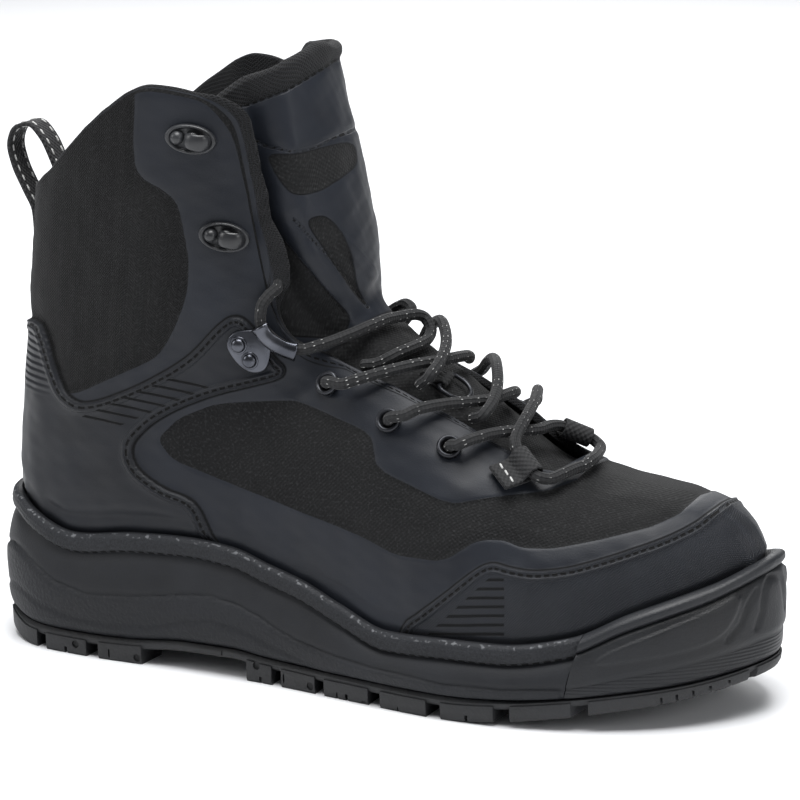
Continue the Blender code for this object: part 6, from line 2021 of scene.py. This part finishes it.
def makeWebbing(look):
    for label, frame in zip(("lateral", "medial"), loopFrames):
        foldedStrap("laceLoop" + label.title(), "lace_loop_" + label, frame, laceLook["loopWidth"],
                    laceLook["hole"], laceLook["loopTail"], look["wall"], 0.0026)
    point, normal = onTop(*look["tabPlace"])
    frame = restOn(softTree, frameAt(point, normal, (1, 0, 0)), look["tabTail"], look["ringWidth"] / 2)
    hole = look["ringWire"] + gap
    foldedStrap("ringTab", "ring_tab", frame, look["tabWidth"], hole, look["tabTail"], look["wall"], 0.0022)
    half = look["ringWidth"] / 2
    line = [(0, -half * 0.35, 0), (0, -half * 0.78, 0), (0.0022, -half, 0)]
    line += [(look["ringDepth"] - half + half * math.cos(t), half * math.sin(t), 0)
             for t in np.radians(np.linspace(-90, 90, 19))]
    line += [(0.0022, half, 0), (0, half * 0.78, 0), (0, half * 0.35, 0), (0, -half * 0.35, 0)]
    spot = frame @ Matrix.Translation((0, 0, hole + look["wall"]))
    path = np.array([(spot @ Vector(p))[:] for p in softened(line, 90)])
    ring = sweep("ringWire", path, look["ringWire"], 14, ends=False)
    finishPiece(ring, "eyelet", "ring", "hook_metal", "d_ring")
    line = softened(look["pullPath"], 90)
    loop = strip("pullLoop", line, look["pullWidth"], look["pullWall"], Matrix.Identity(4), 0.0005)
    finishPiece(loop, "webbing", "boot", "webbing", "pull_loop")
    spots, run, along = [], runAlong(line), units(np.gradient(line, axis=0))
    for place in np.arange(0.004, run[-1] - 0.003, 0.0042):
        i = int(np.searchsorted(run, place))
        out = np.array([-along[i][1], 0, along[i][0]])
        for y in (-0.0036, 0.0036):
            for outward in (1, -1):
                middle = np.array([line[i][0], y, line[i][1]]) + out * outward * look["pullWall"] * 0.52
                spots.append((middle, (along[i][0], 0, along[i][1])))
    finishPiece(stitchRow("pullStitches", spots, 0.0026, Matrix.Identity(4)), "thread", "boot", "webbing")


makeWebbing(webbingLook)
insole = nodes["insole"]
for materialSlot in insole.material_slots:
    materialSlot.material = finishes["insole"]
print("webbing made")


# floor, lights and the last lines
studio = {"world": 0.22}


def makeStudio(look):
    bpy.ops.object.select_all(action="DESELECT")
    bpy.ops.mesh.primitive_plane_add(size=8, location=(0, 0, 0))
    floorPlane = bpy.context.object
    floorPlane.name = "floor"
    finish, tree, sockets, place = newFinish("paleFloor", 0.7)[:4]
    tone = wire(tree, "ShaderNodeTexNoise", {"Vector": place, "Scale": 3.0})
    tree.links.new(mixed(tree, tone.outputs[0], (0.84, 0.85, 0.87, 1), (0.88, 0.885, 0.90, 1)),
                   sockets["Base Color"])
    floorPlane.data.materials.append(finish)
    world = bpy.data.worlds.new("world")
    scene.world = world
    world.use_nodes = True
    background = world.node_tree.nodes["Background"]
    background.inputs["Color"].default_value = (0.95, 0.97, 1.0, 1)
    background.inputs["Strength"].default_value = look["world"]
    for name, place, size, power in (
        ("above", (0.15, -0.25, 2.0), 1.5, 66), ("left", (-1.7, -1.0, 1.0), 0.9, 11),
        ("back", (-0.6, 1.6, 1.0), 1.0, 14), ("toe", (1.8, -0.5, 0.8), 0.8, 7),
    ):
        light = bpy.data.lights.new(name, "AREA")
        light.size, light.energy = size, power
        lamp = bpy.data.objects.new(name, light)
        lamp.location = place
        lamp.rotation_euler = (Vector((0, 0, 0.1)) - Vector(place)).to_track_quat("-Z", "Y").to_euler()
        scene.collection.objects.link(lamp)


makeStudio(studio)
scene.view_settings.view_transform = "Standard"
